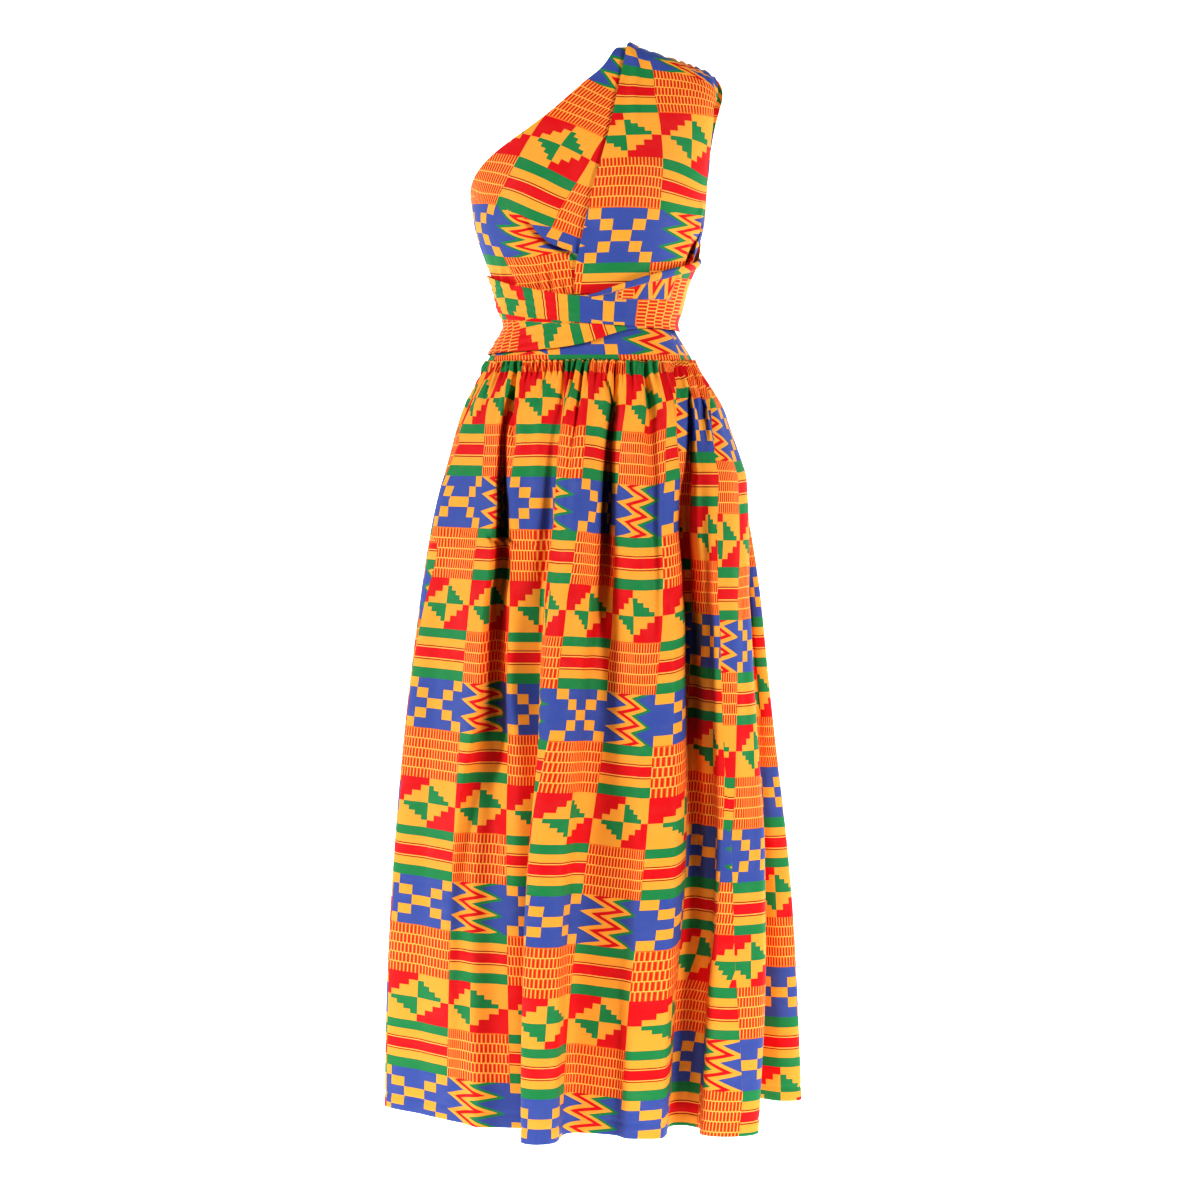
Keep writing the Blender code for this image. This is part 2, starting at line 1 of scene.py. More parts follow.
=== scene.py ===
import bpy
import numpy as np
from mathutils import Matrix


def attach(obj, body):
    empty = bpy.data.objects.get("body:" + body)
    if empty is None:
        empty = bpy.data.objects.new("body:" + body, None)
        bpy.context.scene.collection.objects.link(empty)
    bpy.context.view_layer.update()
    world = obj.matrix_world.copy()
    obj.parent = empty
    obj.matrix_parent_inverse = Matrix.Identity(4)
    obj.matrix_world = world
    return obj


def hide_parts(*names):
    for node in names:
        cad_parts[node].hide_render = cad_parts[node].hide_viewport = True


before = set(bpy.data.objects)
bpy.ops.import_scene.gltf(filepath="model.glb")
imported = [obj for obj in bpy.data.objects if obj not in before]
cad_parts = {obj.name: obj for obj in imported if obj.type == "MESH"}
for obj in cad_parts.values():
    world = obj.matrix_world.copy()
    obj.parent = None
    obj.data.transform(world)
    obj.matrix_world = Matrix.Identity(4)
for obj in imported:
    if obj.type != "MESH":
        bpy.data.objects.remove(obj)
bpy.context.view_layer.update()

# Skirt: two gathered panels of printed cotton, sewn into the waistband and to each other down both
# sides. They hang free to the floor, so their fullness falls into a few deep folds.

SEAT = np.array([0.09, 0.0, -0.0146])  # where the straps lie on the shoulder, from the body's axis
CLOTH = 0.0009  # thickness
WAIST_SEAM_Z = -0.4093
SKIRT_LENGTH = 0.984
SKIRT_WIDTH = 2.07  # of both panels, at the hem
START_TURN = -101.0  # where share 0 of the skirt lies at the waist
HEM_SWING = -20.0  # further round, where it lies at the hem
SWING_LENGTH = 0.30  # depth over which it comes round
SHOWN_TURN = 12.0  # the side that the dress is seen from

WAIST = (0.1354, 0.1004, 0.0964)  # half width, front, back
FRONT_FULLNESS = 0.85  # how much the front fills out for each part that the sides do
BACK_FULLNESS = 1.0
SECTION_POWER = 2.3  # 2 would make sections round, and more makes them squarer
STEPS_PER_FOLD = 24  # along the hem's curve

# depth below the waist seam, reach to the two sides
SKIRT_SIDES = (
    (0, -0.1355, 0.1355), (0.012, -0.1405, 0.1415), (0.031, -0.151, 0.155), (0.057, -0.164, 0.171),
    (0.092, -0.1775, 0.1835), (0.131, -0.189, 0.1945), (0.189, -0.203, 0.208),
    (0.263, -0.2165, 0.221), (0.321, -0.225, 0.2285), (0.408, -0.236, 0.237),
    (0.549, -0.251, 0.2525), (0.642, -0.2585, 0.263), (0.741, -0.265, 0.2715),
    (0.827, -0.269, 0.2765), (0.907, -0.271, 0.28), (0.984, -0.272, 0.283),
)

# folds of the hem: turn, reach from the axis
HEM_FOLDS = (
    (-120, 0.24), (-109, 0.251), (-103, 0.28), (-94, 0.275), (-85, 0.247), (-75, 0.271),
    (-61, 0.228), (-50, 0.21), (-36, 0.215), (-28, 0.214), (-19, 0.174), (-6, 0.152), (-10, 0.228),
    (-5, 0.245), (1, 0.229), (2, 0.186), (9, 0.172), (21, 0.184), (25, 0.208), (35, 0.219),
    (40, 0.203), (48, 0.172), (56, 0.196), (50, 0.228), (54, 0.258), (62, 0.275), (71, 0.248),
    (88, 0.206), (111, 0.21), (105, 0.254), (107, 0.282), (118, 0.282), (129, 0.264), (136, 0.24),
    (145, 0.256), (154, 0.271), (163, 0.252), (168, 0.21), (179, 0.202), (186, 0.236), (198, 0.247),
    (206, 0.214), (217, 0.212), (222, 0.25), (231, 0.263),
)


def smooth(at, knots, values):
    """Values at the places in at, on a smooth curve through a table's values at its knots."""
    at = np.asarray(at, float)
    knots = np.asarray(knots, float)
    values = np.asarray(values, float)
    slopes = np.gradient(values, knots, axis=0)
    low = np.clip(np.searchsorted(knots, at, side="right") - 1, 0, len(knots) - 2)
    step = (knots[low + 1] - knots[low])[..., None]
    part = (at[..., None] - knots[low][..., None]) / step
    rise = part * part * (3 - 2 * part)
    start = part * (1 - part) ** 2 * step * slopes[low]
    end = part * part * (part - 1) * step * slopes[low + 1]
    return values[low] * (1 - rise) + values[low + 1] * rise + start + end


def from_turn(turn, reach):
    """The x and y of a turn from the front, at a reach from the axis."""
    angle = np.radians(turn)
    return np.stack([reach * np.sin(angle), -reach * np.cos(angle)], axis=-1)


def section_reach(turn, half_width, front, back):
    """How far a rounded section reaches at a turn."""
    angle = np.radians(turn)
    deep = np.where(np.cos(angle) > 0, front, back)
    aside = (np.abs(np.sin(angle)) / half_width) ** SECTION_POWER
    return (aside + (np.abs(np.cos(angle)) / deep) ** SECTION_POWER) ** (-1 / SECTION_POWER)


def hem_points(share):
    """Places along the closed curve of the hem, by their share of its length."""
    corners = from_turn(*np.array(HEM_FOLDS, float).T)
    count = len(corners)
    around = np.concatenate([corners[-3:], corners, corners[:4]])
    curve = smooth(np.linspace(0, count, count * STEPS_PER_FOLD + 1), np.arange(-3, count + 4), around)
    length = np.concatenate([[0], np.cumsum(np.linalg.norm(np.diff(curve, axis=0), axis=1))])
    wanted = np.asarray(share) % 1 * length[-1]
    return np.stack([np.interp(wanted, length, axis) for axis in curve.T], axis=-1)


def skirt_swing(depth):
    return HEM_SWING * min(depth / SWING_LENGTH, 1) ** 1.5


def skirt_sides(depth):
    table = np.array(SKIRT_SIDES)
    return smooth(np.array(depth), table[:, 0], table[:, 1:])


def skirt_ring(shares, depth):
    """The skirt at one depth: a rounded section at the waist that turns into the hem's curve."""
    half_width, front, back = WAIST
    fuller = np.ptp(skirt_sides(depth)) / 2 - half_width
    turns = START_TURN + skirt_swing(depth) + 360 * shares
    reach = section_reach(
        turns, half_width + fuller, front + FRONT_FULLNESS * fuller, back + BACK_FULLNESS * fuller
    )
    folded = (depth / SKIRT_LENGTH) ** 0.5
    grown = (half_width + fuller) / (np.ptp(skirt_sides(SKIRT_LENGTH)) / 2)
    return from_turn(turns, reach) * (1 - folded) + hem_points(shares) * grown * folded


def turned(points, turn):
    """Points in x and y, turned about the axis."""
    cosine, sine = np.cos(np.radians(turn)), np.sin(np.radians(turn))
    return points @ np.array([[cosine, sine], [-sine, cosine]])


# how far the front folds lean to the right, by depth: shares 0.298, 0.444 and 0.540
FOLD_LEAN = (
    (0, 0, 0, 0), (0.1, 0.004, 0, 0.002), (0.2, 0.016, 0.012, 0.01), (0.3, 0.02, 0.034, 0.017),
    (0.4, 0.015, 0.035, 0.0175), (0.5, 0.014, 0.033, 0.018), (0.6, 0.007, 0.03, 0.018),
    (0.7, 0.0025, 0.023, 0.014), (0.8, 0.001, 0.013, 0.011), (0.9, 0, 0.007, 0.005),
    (0.984, 0, 0.002, 0),
)
LEANING = (0.14, 0.298, 0.444, 0.540, 0.600)


def fold_lean(shares, depth):
    table = np.array(FOLD_LEAN)
    lean = smooth(np.array(depth), table[:, 0], table[:, 1:])
    inside = np.clip(shares % 1, LEANING[0], LEANING[-1])
    return smooth(inside, LEANING, np.array([[0], lean[:1], lean[1:2], lean[2:], [0]]))[:, 0]


def skirt_grid(share_rows, depths):
    """The skirt's points with no gathers, by shares at each depth."""
    rows = []
    for shares, depth in zip(share_rows, depths):
        whole = turned(skirt_ring(np.linspace(0, 1, 400), depth), -SHOWN_TURN)[:, 0]
        seen = turned(skirt_ring(shares, depth), -SHOWN_TURN)
        left, right = skirt_sides(depth)
        to_left, to_right = left / whole.min(), right / whole.max()
        seen[:, 0] *= np.where(seen[:, 0] < 0, to_left, to_right)
        seen[:, 1] *= (to_left + to_right) / 2
        seen[:, 0] += fold_lean(shares, depth)
        rows.append(
            np.column_stack([turned(seen, SHOWN_TURN), np.full(len(shares), WAIST_SEAM_Z - depth)])
        )
    return np.array(rows)


def outward(grid):
    """Directions square to a grid of points, out of the cloth's face."""
    normal = np.cross(np.gradient(grid, axis=0), np.gradient(grid, axis=1))
    return normal / np.linalg.norm(normal, axis=2, keepdims=True)


# gathers: share of the skirt at the waist seam, share at its end, reach down, deepest
FRONT_GATHERS = (
    (0.118, 0.135, 0.05, 0.004), (0.128, 0.14, 0.036, 0.0045), (0.141, 0.15, 0.02, 0.003),
    (0.15, 0.158, 0.018, 0.0035), (0.163, 0.2, 0.09, 0.009), (0.176, 0.19, 0.025, 0.003),
    (0.188, 0.2, 0.04, 0.0035), (0.2, 0.206, 0.022, 0.003), (0.213, 0.217, 0.03, 0.003),
    (0.226, 0.229, 0.045, 0.0035), (0.238, 0.24, 0.022, 0.003), (0.25, 0.252, 0.026, 0.003),
    (0.259, 0.262, 0.05, 0.006), (0.272, 0.273, 0.018, 0.0045), (0.286, 0.287, 0.026, 0.003),
    (0.302, 0.305, 0.075, 0.0085), (0.316, 0.318, 0.024, 0.003), (0.328, 0.33, 0.034, 0.0035),
    (0.34, 0.342, 0.022, 0.003), (0.352, 0.353, 0.03, 0.003), (0.364, 0.361, 0.11, 0.009),
    (0.377, 0.375, 0.026, 0.003), (0.389, 0.388, 0.032, 0.004), (0.399, 0.398, 0.022, 0.003),
    (0.408, 0.406, 0.034, 0.0045), (0.416, 0.408, 0.065, 0.0075), (0.427, 0.424, 0.03, 0.0035),
    (0.437, 0.435, 0.045, 0.004),
)
SIDE_GATHERS = (
    (0.452, 0.45, 0.03, 0.0045), (0.463, 0.458, 0.04, 0.0045), (0.476, 0.468, 0.026, 0.0045),
    (0.486, 0.48, 0.06, 0.0055), (0.497, 0.492, 0.034, 0.0045), (0.508, 0.5, 0.07, 0.006),
)

# long folds: share and depth where one starts, share and depth where it ends, half width as a
# share, height
LONG_FOLDS = (
    (0.15, 0.2, 0.145, 0.95, 0.014, -0.005),
    (0.238, 0.06, 0.255, 0.34, 0.01, 0.006),
    (0.284, 0.1, 0.29, 0.34, 0.009, 0.004),
    (0.307, 0.04, 0.307, 0.32, 0.006, -0.004),
    (0.385, 0.1, 0.38, 0.55, 0.01, 0.004),
    (0.41, 0.04, 0.404, 0.36, 0.008, -0.013),
    (0.398, 0.36, 0.402, 0.95, 0.012, -0.006),
    (0.52, 0.1, 0.512, 0.8, 0.012, -0.008),
    (0.64, 0.05, 0.645, 0.5, 0.012, -0.014),
    (0.735, 0.05, 0.738, 0.4, 0.011, -0.016),
    (0.83, 0.05, 0.824, 0.55, 0.012, -0.016),
    (0.915, 0.05, 0.92, 0.42, 0.011, -0.014),
    (1.01, 0.05, 1.004, 0.5, 0.012, -0.014),
)

# deep folds of the front, each as rows of depth, share, half width as a share, how deep
DEEP_FOLDS = (
    (
        (0.02, 0.177, 0.003, 0), (0.05, 0.181, 0.0034, 0.014), (0.108, 0.196, 0.0044, 0.036),
        (0.149, 0.204, 0.005, 0.052), (0.181, 0.2105, 0.0054, 0.06), (0.27, 0.2205, 0.0068, 0.06),
        (0.33, 0.2205, 0.0074, 0.06), (0.437, 0.2225, 0.0084, 0.05), (0.54, 0.217, 0.018, 0.042),
        (0.7, 0.21, 0.024, 0.038), (0.984, 0.208, 0.026, 0.024),
    ),
    (
        (0.015, 0.346, 0.003, 0), (0.055, 0.362, 0.0034, 0.016), (0.108, 0.361, 0.0042, 0.032),
        (0.149, 0.3605, 0.0048, 0.05), (0.22, 0.3605, 0.0055, 0.056), (0.277, 0.36, 0.0066, 0.046),
        (0.35, 0.359, 0.009, 0.024), (0.437, 0.357, 0.011, 0.012), (0.55, 0.352, 0.014, 0.008),
        (0.984, 0.346, 0.016, 0.006),
    ),
    (
        (0.02, 0.484, 0.003, 0), (0.055, 0.465, 0.003, 0.016), (0.117, 0.456, 0.0034, 0.03),
        (0.16, 0.45, 0.006, 0.045), (0.215, 0.448, 0.0075, 0.055), (0.26, 0.448, 0.008, 0.055),
        (0.437, 0.4485, 0.008, 0.05), (0.55, 0.449, 0.007, 0.03), (0.7, 0.451, 0.007, 0.014),
        (0.984, 0.452, 0.008, 0.008),
    ),
    (
        (0.01, 0.51, 0.004, 0), (0.03, 0.5, 0.0044, 0.016), (0.07, 0.488, 0.0044, 0.016),
        (0.11, 0.483, 0.004, 0), (0.984, 0.483, 0.004, 0),
    ),
)


def falloff(off, width, power=2):
    """1 in the middle, falling away over a width or two."""
    return np.exp(-((off / width) ** power))


def deep_folds(shares, depths):
    """How far the cloth stands in where the front falls into its deepest folds."""
    depth = 0
    for rows in DEEP_FOLDS:
        path = np.array(rows)
        place, wide, deep = (np.interp(depths, path[:, 0], row) for row in path[:, 1:].T)
        depth = depth + deep * falloff(np.abs(shares - place), wide, 3)
    return depth


def creased(across, down, creases):
    """How far cloth stands out at its places, from listed creases. Each one: its two ends
    across and down the cloth, half width and height, which is below 0 for a trough."""
    height = 0 * across
    for x0, y0, x1, y1, wide, high in creases:
        along = np.clip((down - y0) / (y1 - y0), -0.5, 1.5)
        held = np.clip(along, 0, 1)
        centre = x0 + (x1 - x0) * held
        past = np.abs(along - held) * abs(y1 - y0)
        ends = falloff(past, 0.05) * np.sin(np.pi * (0.10 + 0.80 * held)) ** 0.6
        height = height + high * ends * falloff(across - centre, wide)
    return height


def gathers(shares, depth, table):
    """How far the cloth stands out or in where the waist seam draws it up."""
    ruche = np.abs(np.sin(np.pi * 96 * shares + 1.7 * np.sin(37 * shares))) ** 0.8 - 0.45
    fine = np.abs(np.sin(np.pi * 230 * shares + 2 * np.sin(61 * shares))) ** 0.7 - 0.5
    height = 0.0042 * ruche * falloff(depth, 0.020, 1.2)
    height = height + 0.0012 * fine * falloff(depth, 0.012, 1.3)
    opened = 0.45 + 0.55 * np.minimum(depth / 0.010, 1)
    sharp = 0.0024 + 0.045 * np.minimum(depth, 0.12)
    for start, end, reach, deep in table:
        place = start + (end - start) * np.minimum(depth / reach, 1.2)
        off = shares - place
        side = np.where(off > 0, 0.65, 1.5) if deep < 0.0034 else np.where(off > 0, 1.5, 0.65)
        fading = falloff(depth, 1.25 * reach)
        valley = np.exp(-np.abs(off) / (sharp * side))
        swell = 0.30 * falloff(np.abs(off) - 2.2 * sharp, 1.2 * sharp)
        height = height + 1.7 * deep * opened * fading * (swell - valley)
    return height


def back_gathers(first, last):
    """Gathers for cloth that is drawn up in the same uneven way all the way round."""
    places = np.arange(first, last, 0.0121)
    wave = np.sin(places * 211) + np.sin(places * 503 + 1)
    drift = 0.0022 * np.sin(places * 389)
    return [
        (place, place + shift, 0.050 + 0.026 * level, 0.0046 + 0.0015 * level)
        for place, level, shift in zip(places, wave, drift)
    ]


def arithmetic(operation):
    """A method that works on values by a node for one operation."""

    def method(self, *others):
        inputs = dict(enumerate((self, *others)))
        return self.add("ShaderNodeMath", {"operation": operation}, inputs)

    return method


class Value:
    """A number or colour that changes over the cloth. Arithmetic on it adds the nodes."""

    def __init__(self, tree, socket=None):
        self.tree = tree
        self.socket = socket

    def add(self, kind, settings=None, inputs=None, output=0):
        node = self.tree.nodes.new(kind)
        for name, setting in (settings or {}).items():
            setattr(node, name, setting)
        for key, value in (inputs or {}).items():
            if isinstance(value, Value):
                self.tree.links.new(value.socket, node.inputs[key])
            else:
                node.inputs[key].default_value = value
        return Value(self.tree, node.outputs[output])

    __add__ = __radd__ = arithmetic("ADD")
    __sub__ = arithmetic("SUBTRACT")
    __mul__ = __rmul__ = arithmetic("MULTIPLY")
    __truediv__ = arithmetic("DIVIDE")
    __mod__ = arithmetic("FLOORED_MODULO")
    __lt__ = arithmetic("LESS_THAN")
    __gt__ = arithmetic("GREATER_THAN")
    __abs__ = arithmetic("ABSOLUTE")
    least = arithmetic("MINIMUM")
    floor = arithmetic("FLOOR")
    sine = arithmetic("SINE")

    def __rsub__(self, other):
        return self * -1 + other

    def inked(self, mask, colour):
        """This colour, with another one where the mask is 1."""
        inputs = {"Factor": mask, 6: self, 7: colour}
        return self.add("ShaderNodeMix", {"data_type": "RGBA"}, inputs, 2)


def ink(red, green, blue):
    """A printing ink from its screen values."""
    part = np.array([red, green, blue]) / 255
    linear = np.where(part < 0.04045, part / 12.92, ((part + 0.055) / 1.055) ** 2.4)
    return (*linear.tolist(), 1.0)


YELLOW = ink(250, 174, 72)
ORANGE = ink(244, 114, 46)
BAR = ink(218, 56, 26)
RED = ink(222, 30, 38)
GREEN = ink(46, 142, 86)
BLUE = ink(76, 96, 168)
LINE = ink(176, 40, 24)
PALE_YELLOW = ink(255, 196, 100)
COLUMN = 0.0925
ROW = 0.067


def wax_print():
    """A strip-cloth print: columns of stairs, stripes, checks, bars and zigzags, row by row."""
    material = bpy.data.materials.new("wax_print_cotton")
    material.use_nodes = True
    tree = material.node_tree
    shader = tree.nodes["Principled BSDF"]
    start = Value(tree)
    place = start.add("ShaderNodeAttribute", {"attribute_name": "cloth"}, {}, "Vector")
    apart = place.add("ShaderNodeSeparateXYZ", {}, {"Vector": place}, "X")
    across = apart
    down = Value(tree, apart.socket.node.outputs["Y"])
    column, line = across.floor(), down.floor()
    second = column % 2
    x, y = across - column, down - line
    row = line % 4
    plain = 1 - second

    # stair: stepped corners round the middle, three yellow steps on red and four green on yellow
    from_middle, from_centre = abs(x - 0.5) * 2, abs(y - 0.5) * 2
    right, low = x > 0.5, y > 0.5
    warm = right * low + (1 - right) * (1 - low)
    steps = 4 - warm
    stepped = (from_middle * steps / 0.72).floor() + (from_centre * steps / 0.70).floor()
    inside = stepped < steps - 0.5
    ground = start.add("ShaderNodeMix", {"data_type": "RGBA"}, {"Factor": warm, 6: YELLOW, 7: RED}, 2)
    step = start.add("ShaderNodeMix", {"data_type": "RGBA"}, {"Factor": warm, 6: GREEN, 7: YELLOW}, 2)
    colour = ground.inked(inside, step)

    # stripes: red in the middle, fine lines, yellow, and green at both edges
    edge = abs(y - 0.49)
    stripes = colour.inked(edge > -1, GREEN)
    stripes = stripes.inked(edge < 0.305, YELLOW)
    stripes = stripes.inked(edge < 0.142, LINE)
    stripes = stripes.inked(edge < 0.120, PALE_YELLOW)
    stripes = stripes.inked(edge < 0.098, RED)

    # bars: five rows of upright bars, each row half a bar aside, with pale lines between
    bar_y = y * 5 % 1
    bar_x = (x * 20 + (y * 5).floor() * 0.5) % 1
    bars = colour.inked(edge > -1, ORANGE)
    bars = bars.inked((bar_x > 0.36) * (bar_x < 0.82) * (bar_y > 0.16), BAR)
    bars = bars.inked((bar_x < 0.22) * (bar_y > 0.08), PALE_YELLOW)
    bars = bars.inked((bar_y < 0.09) * (y > 0.1), PALE_YELLOW)

    # checks: yellow squares crossing on blue
    off_middle = abs(x - 0.5)
    ring = (off_middle > 0.14) + (off_middle > 0.32)
    band = abs((y * 5).floor() - 2)
    checks = colour.inked(edge > -1, BLUE)
    checks = checks.inked(abs(ring - band) < 0.5, YELLOW)

    # zigzag: three leaning teeth, yellow, red and yellow, with green on their right
    phase = (y - x * 0.16) / 0.335 % 1
    tooth = (phase / 0.48).least((1 - phase) / 0.52)
    zigzag = colour.inked(edge > -1, BLUE)
    for left, reach, paint in (
        (0.00, 0.38, YELLOW),
        (0.18, 0.38, RED),
        (0.32, 0.38, YELLOW),
        (0.48, 0.36, GREEN),
        (0.60, 0.34, BLUE),
    ):
        zigzag = zigzag.inked(x > tooth * reach + left, paint)

    def on_row(number):
        return abs(row - number) < 0.5

    colour = colour.inked(on_row(1) * plain + on_row(3) * second, stripes)
    colour = colour.inked(on_row(1) * second + on_row(3) * plain, bars)
    colour = colour.inked(on_row(2) * plain, checks)
    colour = colour.inked(on_row(2) * second, zigzag)

    cloudy, thread = (
        start.add("ShaderNodeTexNoise", {}, {"Vector": place, "Scale": scale, "Detail": detail}, "Fac")
        for scale, detail in ((3.0, 4.0), (90.0, 2.0))
    )
    worn = colour.inked((cloudy - 0.5) * 0.10 + (thread - 0.5) * 0.14, ink(255, 236, 210))
    tree.links.new(worn.socket, shader.inputs["Base Color"])
    rough = cloudy * 0.12 + thread * 0.10 + 0.50
    tree.links.new(rough.socket, shader.inputs["Roughness"])
    shader.inputs["Specular IOR Level"].default_value = 0.18
    shader.inputs["Sheen Weight"].default_value = 0.04
    shader.inputs["Sheen Roughness"].default_value = 0.45
    weave = (across * COLUMN / 0.0011 * 6.2832).sine() * (down * ROW / 0.0011 * 6.2832).sine()
    relief = weave * 0.00004 + thread * 0.00008
    bump = start.add(
        "ShaderNodeBump", {}, {"Height": relief, "Strength": 0.5, "Distance": 1.0}, "Normal"
    )
    tree.links.new(bump.socket, shader.inputs["Normal"])
    return material


wax_cotton = wax_print()


def placed(name, data):
    """A new object in the scene."""
    thing = bpy.data.objects.new(name, data)
    bpy.context.scene.collection.objects.link(thing)
    return thing


def bake_map(grid, quads, rim_count):
    """The cloth laid flat in a square: its face in the left half, its back in the right half, and
    its edges in a narrow strip below."""
    margin = 0.02  # above the strip of edges, as a share of the square
    beside = 0.005  # at both sides of a half
    lengths = np.linalg.norm(np.diff(grid, axis=0), axis=2).mean(axis=1)
    widths = np.linalg.norm(np.diff(grid, axis=1), axis=2).mean(axis=0)
    down = np.concatenate([[0], np.cumsum(lengths)]) / lengths.sum()
    along = np.concatenate([[0], np.cumsum(widths)]) / widths.sum()
    down = margin + (1 - 1.2 * margin) * down[:, None] + 0 * along
    along = beside + (0.5 - 2 * beside) * along + 0 * down
    face = np.stack([along, down], axis=-1).reshape(-1, 2)[quads]
    back = face[:, ::-1] + np.array([0.5, 0])
    starts = np.arange(rim_count) / rim_count
    ends = starts + 1 / rim_count
    low, high = 0 * starts, 0 * starts + 0.6 * margin
    strip = np.stack([ends, low, starts, low, starts, high, ends, high], axis=-1)
    return np.concatenate([face, back, strip.reshape(-1, 4, 2)])


def sew(name, outer, inner, cloth, node):
    """A piece of cloth between two grids of points, with its places in the print."""
    rows, columns = outer.shape[:2]
    count = rows * columns
    number = np.arange(count).reshape(rows, columns)
    quads = np.stack(
        [number[:-1, :-1], number[:-1, 1:], number[1:, 1:], number[1:, :-1]], axis=-1
    ).reshape(-1, 4)
    rim = np.concatenate(
        [number[0, :-1], number[:-1, -1], number[-1, :0:-1], number[:0:-1, 0]]
    )
    after = np.roll(rim, -1)
    edges = np.stack([after, rim, rim + count, after + count], axis=-1)
    faces = np.concatenate([quads, quads[:, ::-1] + count, edges])
    flat_map = bake_map(outer, quads, len(rim))
    row, column = rows // 2, columns // 2
    middle = outer[row, column]
    side, lead = outer[row, column + 1] - middle, outer[row + 1, column] - middle
    if np.dot(np.cross(side, lead), middle - inner[row, column]) < 0:
        faces = faces[:, ::-1]
        flat_map = flat_map[:, ::-1]
    points = np.concatenate([outer.reshape(-1, 3), inner.reshape(-1, 3)]) - SEAT
    data = bpy.data.meshes.new(name)
    data.from_pydata(points.tolist(), [], faces.tolist())
    data.shade_smooth()
    places = np.zeros((2 * count, 3), np.float32)
    places[:count, :2] = cloth.reshape(-1, 2)
    places[count:, :2] = cloth.reshape(-1, 2)
    places[count:, 2] = 1
    data.attributes.new("cloth", "FLOAT_VECTOR", "POINT").data.foreach_set(
        "vector", places.ravel()
    )
    data.uv_layers.new(name="OFBake").data.foreach_set("uv", flat_map.astype(np.float32).ravel())
    data.materials.append(wax_cotton)
    piece = placed(name, data)
    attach(piece, "root")
    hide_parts(node)


HEM_STITCH = 0.966  # depth of the line that holds the hem's turned edge
STITCH_SUNK = 0.0012
STITCH_WIDTH = 0.0022
SKIRT_ROWS = np.concatenate(
    [
        np.linspace(0, 0.06, 31),
        np.linspace(0.0625, 0.16, 30),
        np.linspace(0.170, 0.9560, 70),
        np.linspace(0.9585, SKIRT_LENGTH, 12),
    ]
)


# the front panel's print, by depth: places along the panel as shares of the skirt, then the column
# number at each. Cloth that lies hidden in a fold is left out, so the number jumps there.
FRONT_COLUMNS = (
    (
        0.000,
        (0.099, 0.118, 0.137, 0.16, 0.161, 0.174, 0.272, 0.273, 0.314, 0.345, 0.346, 0.382, 0.438, 0.446),
        (0, 0.5, 1, 1.6, 1.62, 2, 3.15, 3.2, 4, 4.5, 4.52, 5, 6, 6.12),
    ),
    (
        0.055,
        (0.1, 0.124, 0.148, 0.177, 0.182, 0.201, 0.275, 0.279, 0.324, 0.361, 0.365, 0.378, 0.433, 0.446),
        (0, 0.5, 1, 1.48, 1.62, 2, 3.02, 3.5, 4, 4.48, 4.86, 5, 6, 6.15),
    ),
    (
        0.108,
        (0.127, 0.147, 0.167, 0.194, 0.2, 0.213, 0.276, 0.281, 0.326, 0.359, 0.366, 0.373, 0.424, 0.44),
        (0, 0.5, 1, 1.38, 1.75, 2, 3, 3.5, 4, 4.5, 4.86, 5, 6, 6.25),
    ),
    (
        0.181,
        (0.132, 0.166, 0.184, 0.208, 0.213, 0.237, 0.278, 0.283, 0.323, 0.36, 0.366, 0.395, 0.417, 0.438),
        (0.3, 0.64, 1, 1.45, 1.95, 2.36, 2.8, 3.58, 4, 4.48, 4.94, 5.5, 6, 6.22),
    ),
    (
        0.300,
        (0.122, 0.158, 0.191, 0.219, 0.225, 0.257, 0.29, 0.303, 0.319, 0.357, 0.362, 0.385, 0.411, 0.443),
        (-0.02, 0.5, 1, 1.62, 1.88, 2.5, 2.68, 3.6, 4, 4.7, 4.86, 5.5, 6, 6.36),
    ),
    (
        0.437,
        (0.117, 0.152, 0.188, 0.227, 0.229, 0.258, 0.282, 0.303, 0.316, 0.357, 0.361, 0.385, 0.402, 0.444),
        (0, 0.5, 1, 1.72, 1.94, 2.55, 2.7, 3.85, 4, 4.82, 4.92, 5.52, 6, 6.5),
    ),
    (
        0.700,
        (0.113, 0.148, 0.184, 0.229, 0.231, 0.246, 0.284, 0.304, 0.33, 0.35, 0.351, 0.375, 0.394, 0.444),
        (0, 0.5, 1, 1.86, 1.91, 2.25, 3, 4.15, 4.6, 4.92, 4.93, 5.52, 6, 6.7),
    ),
    (
        0.984,
        (0.112, 0.143, 0.174, 0.225, 0.226, 0.24, 0.29, 0.3, 0.325, 0.342, 0.343, 0.365, 0.386, 0.442),
        (0, 0.5, 1, 1.85, 1.87, 2.12, 3.2, 4.2, 4.65, 4.95, 4.97, 5.5, 6, 6.7),
    ),
)

# the lengths that the back panel is joined from: depth, share at two edges of a column
SIDE_COLUMNS = (
    (0, 0.505, 0.55), (0.02, 0.489, 0.533), (0.055, 0.4655, 0.509), (0.09, 0.459, 0.502),
    (0.117, 0.456, 0.5), (0.25, 0.453, 0.498), (0.35, 0.45, 0.496), (0.5, 0.444, 0.49),
    (0.7, 0.437, 0.483), (0.76, 0.434, 0.479), (0.82, 0.428, 0.469), (0.89, 0.424, 0.465),
    (0.984, 0.423, 0.463),
)
JOIN_COLUMNS = (
    (0, 0.55, 0.594), (0.055, 0.52, 0.564), (0.15, 0.517, 0.561), (0.23, 0.517, 0.561),
    (0.36, 0.507, 0.552), (0.55, 0.497, 0.542), (0.7, 0.488, 0.533), (0.984, 0.49, 0.535),
)
JOIN = (
    (0, 0.545), (0.02, 0.53), (0.055, 0.507), (0.09, 0.497), (0.12, 0.491), (0.26, 0.488),
    (0.5, 0.489), (0.75, 0.498), (0.984, 0.512),
)
HIDDEN_JOIN = 0.600

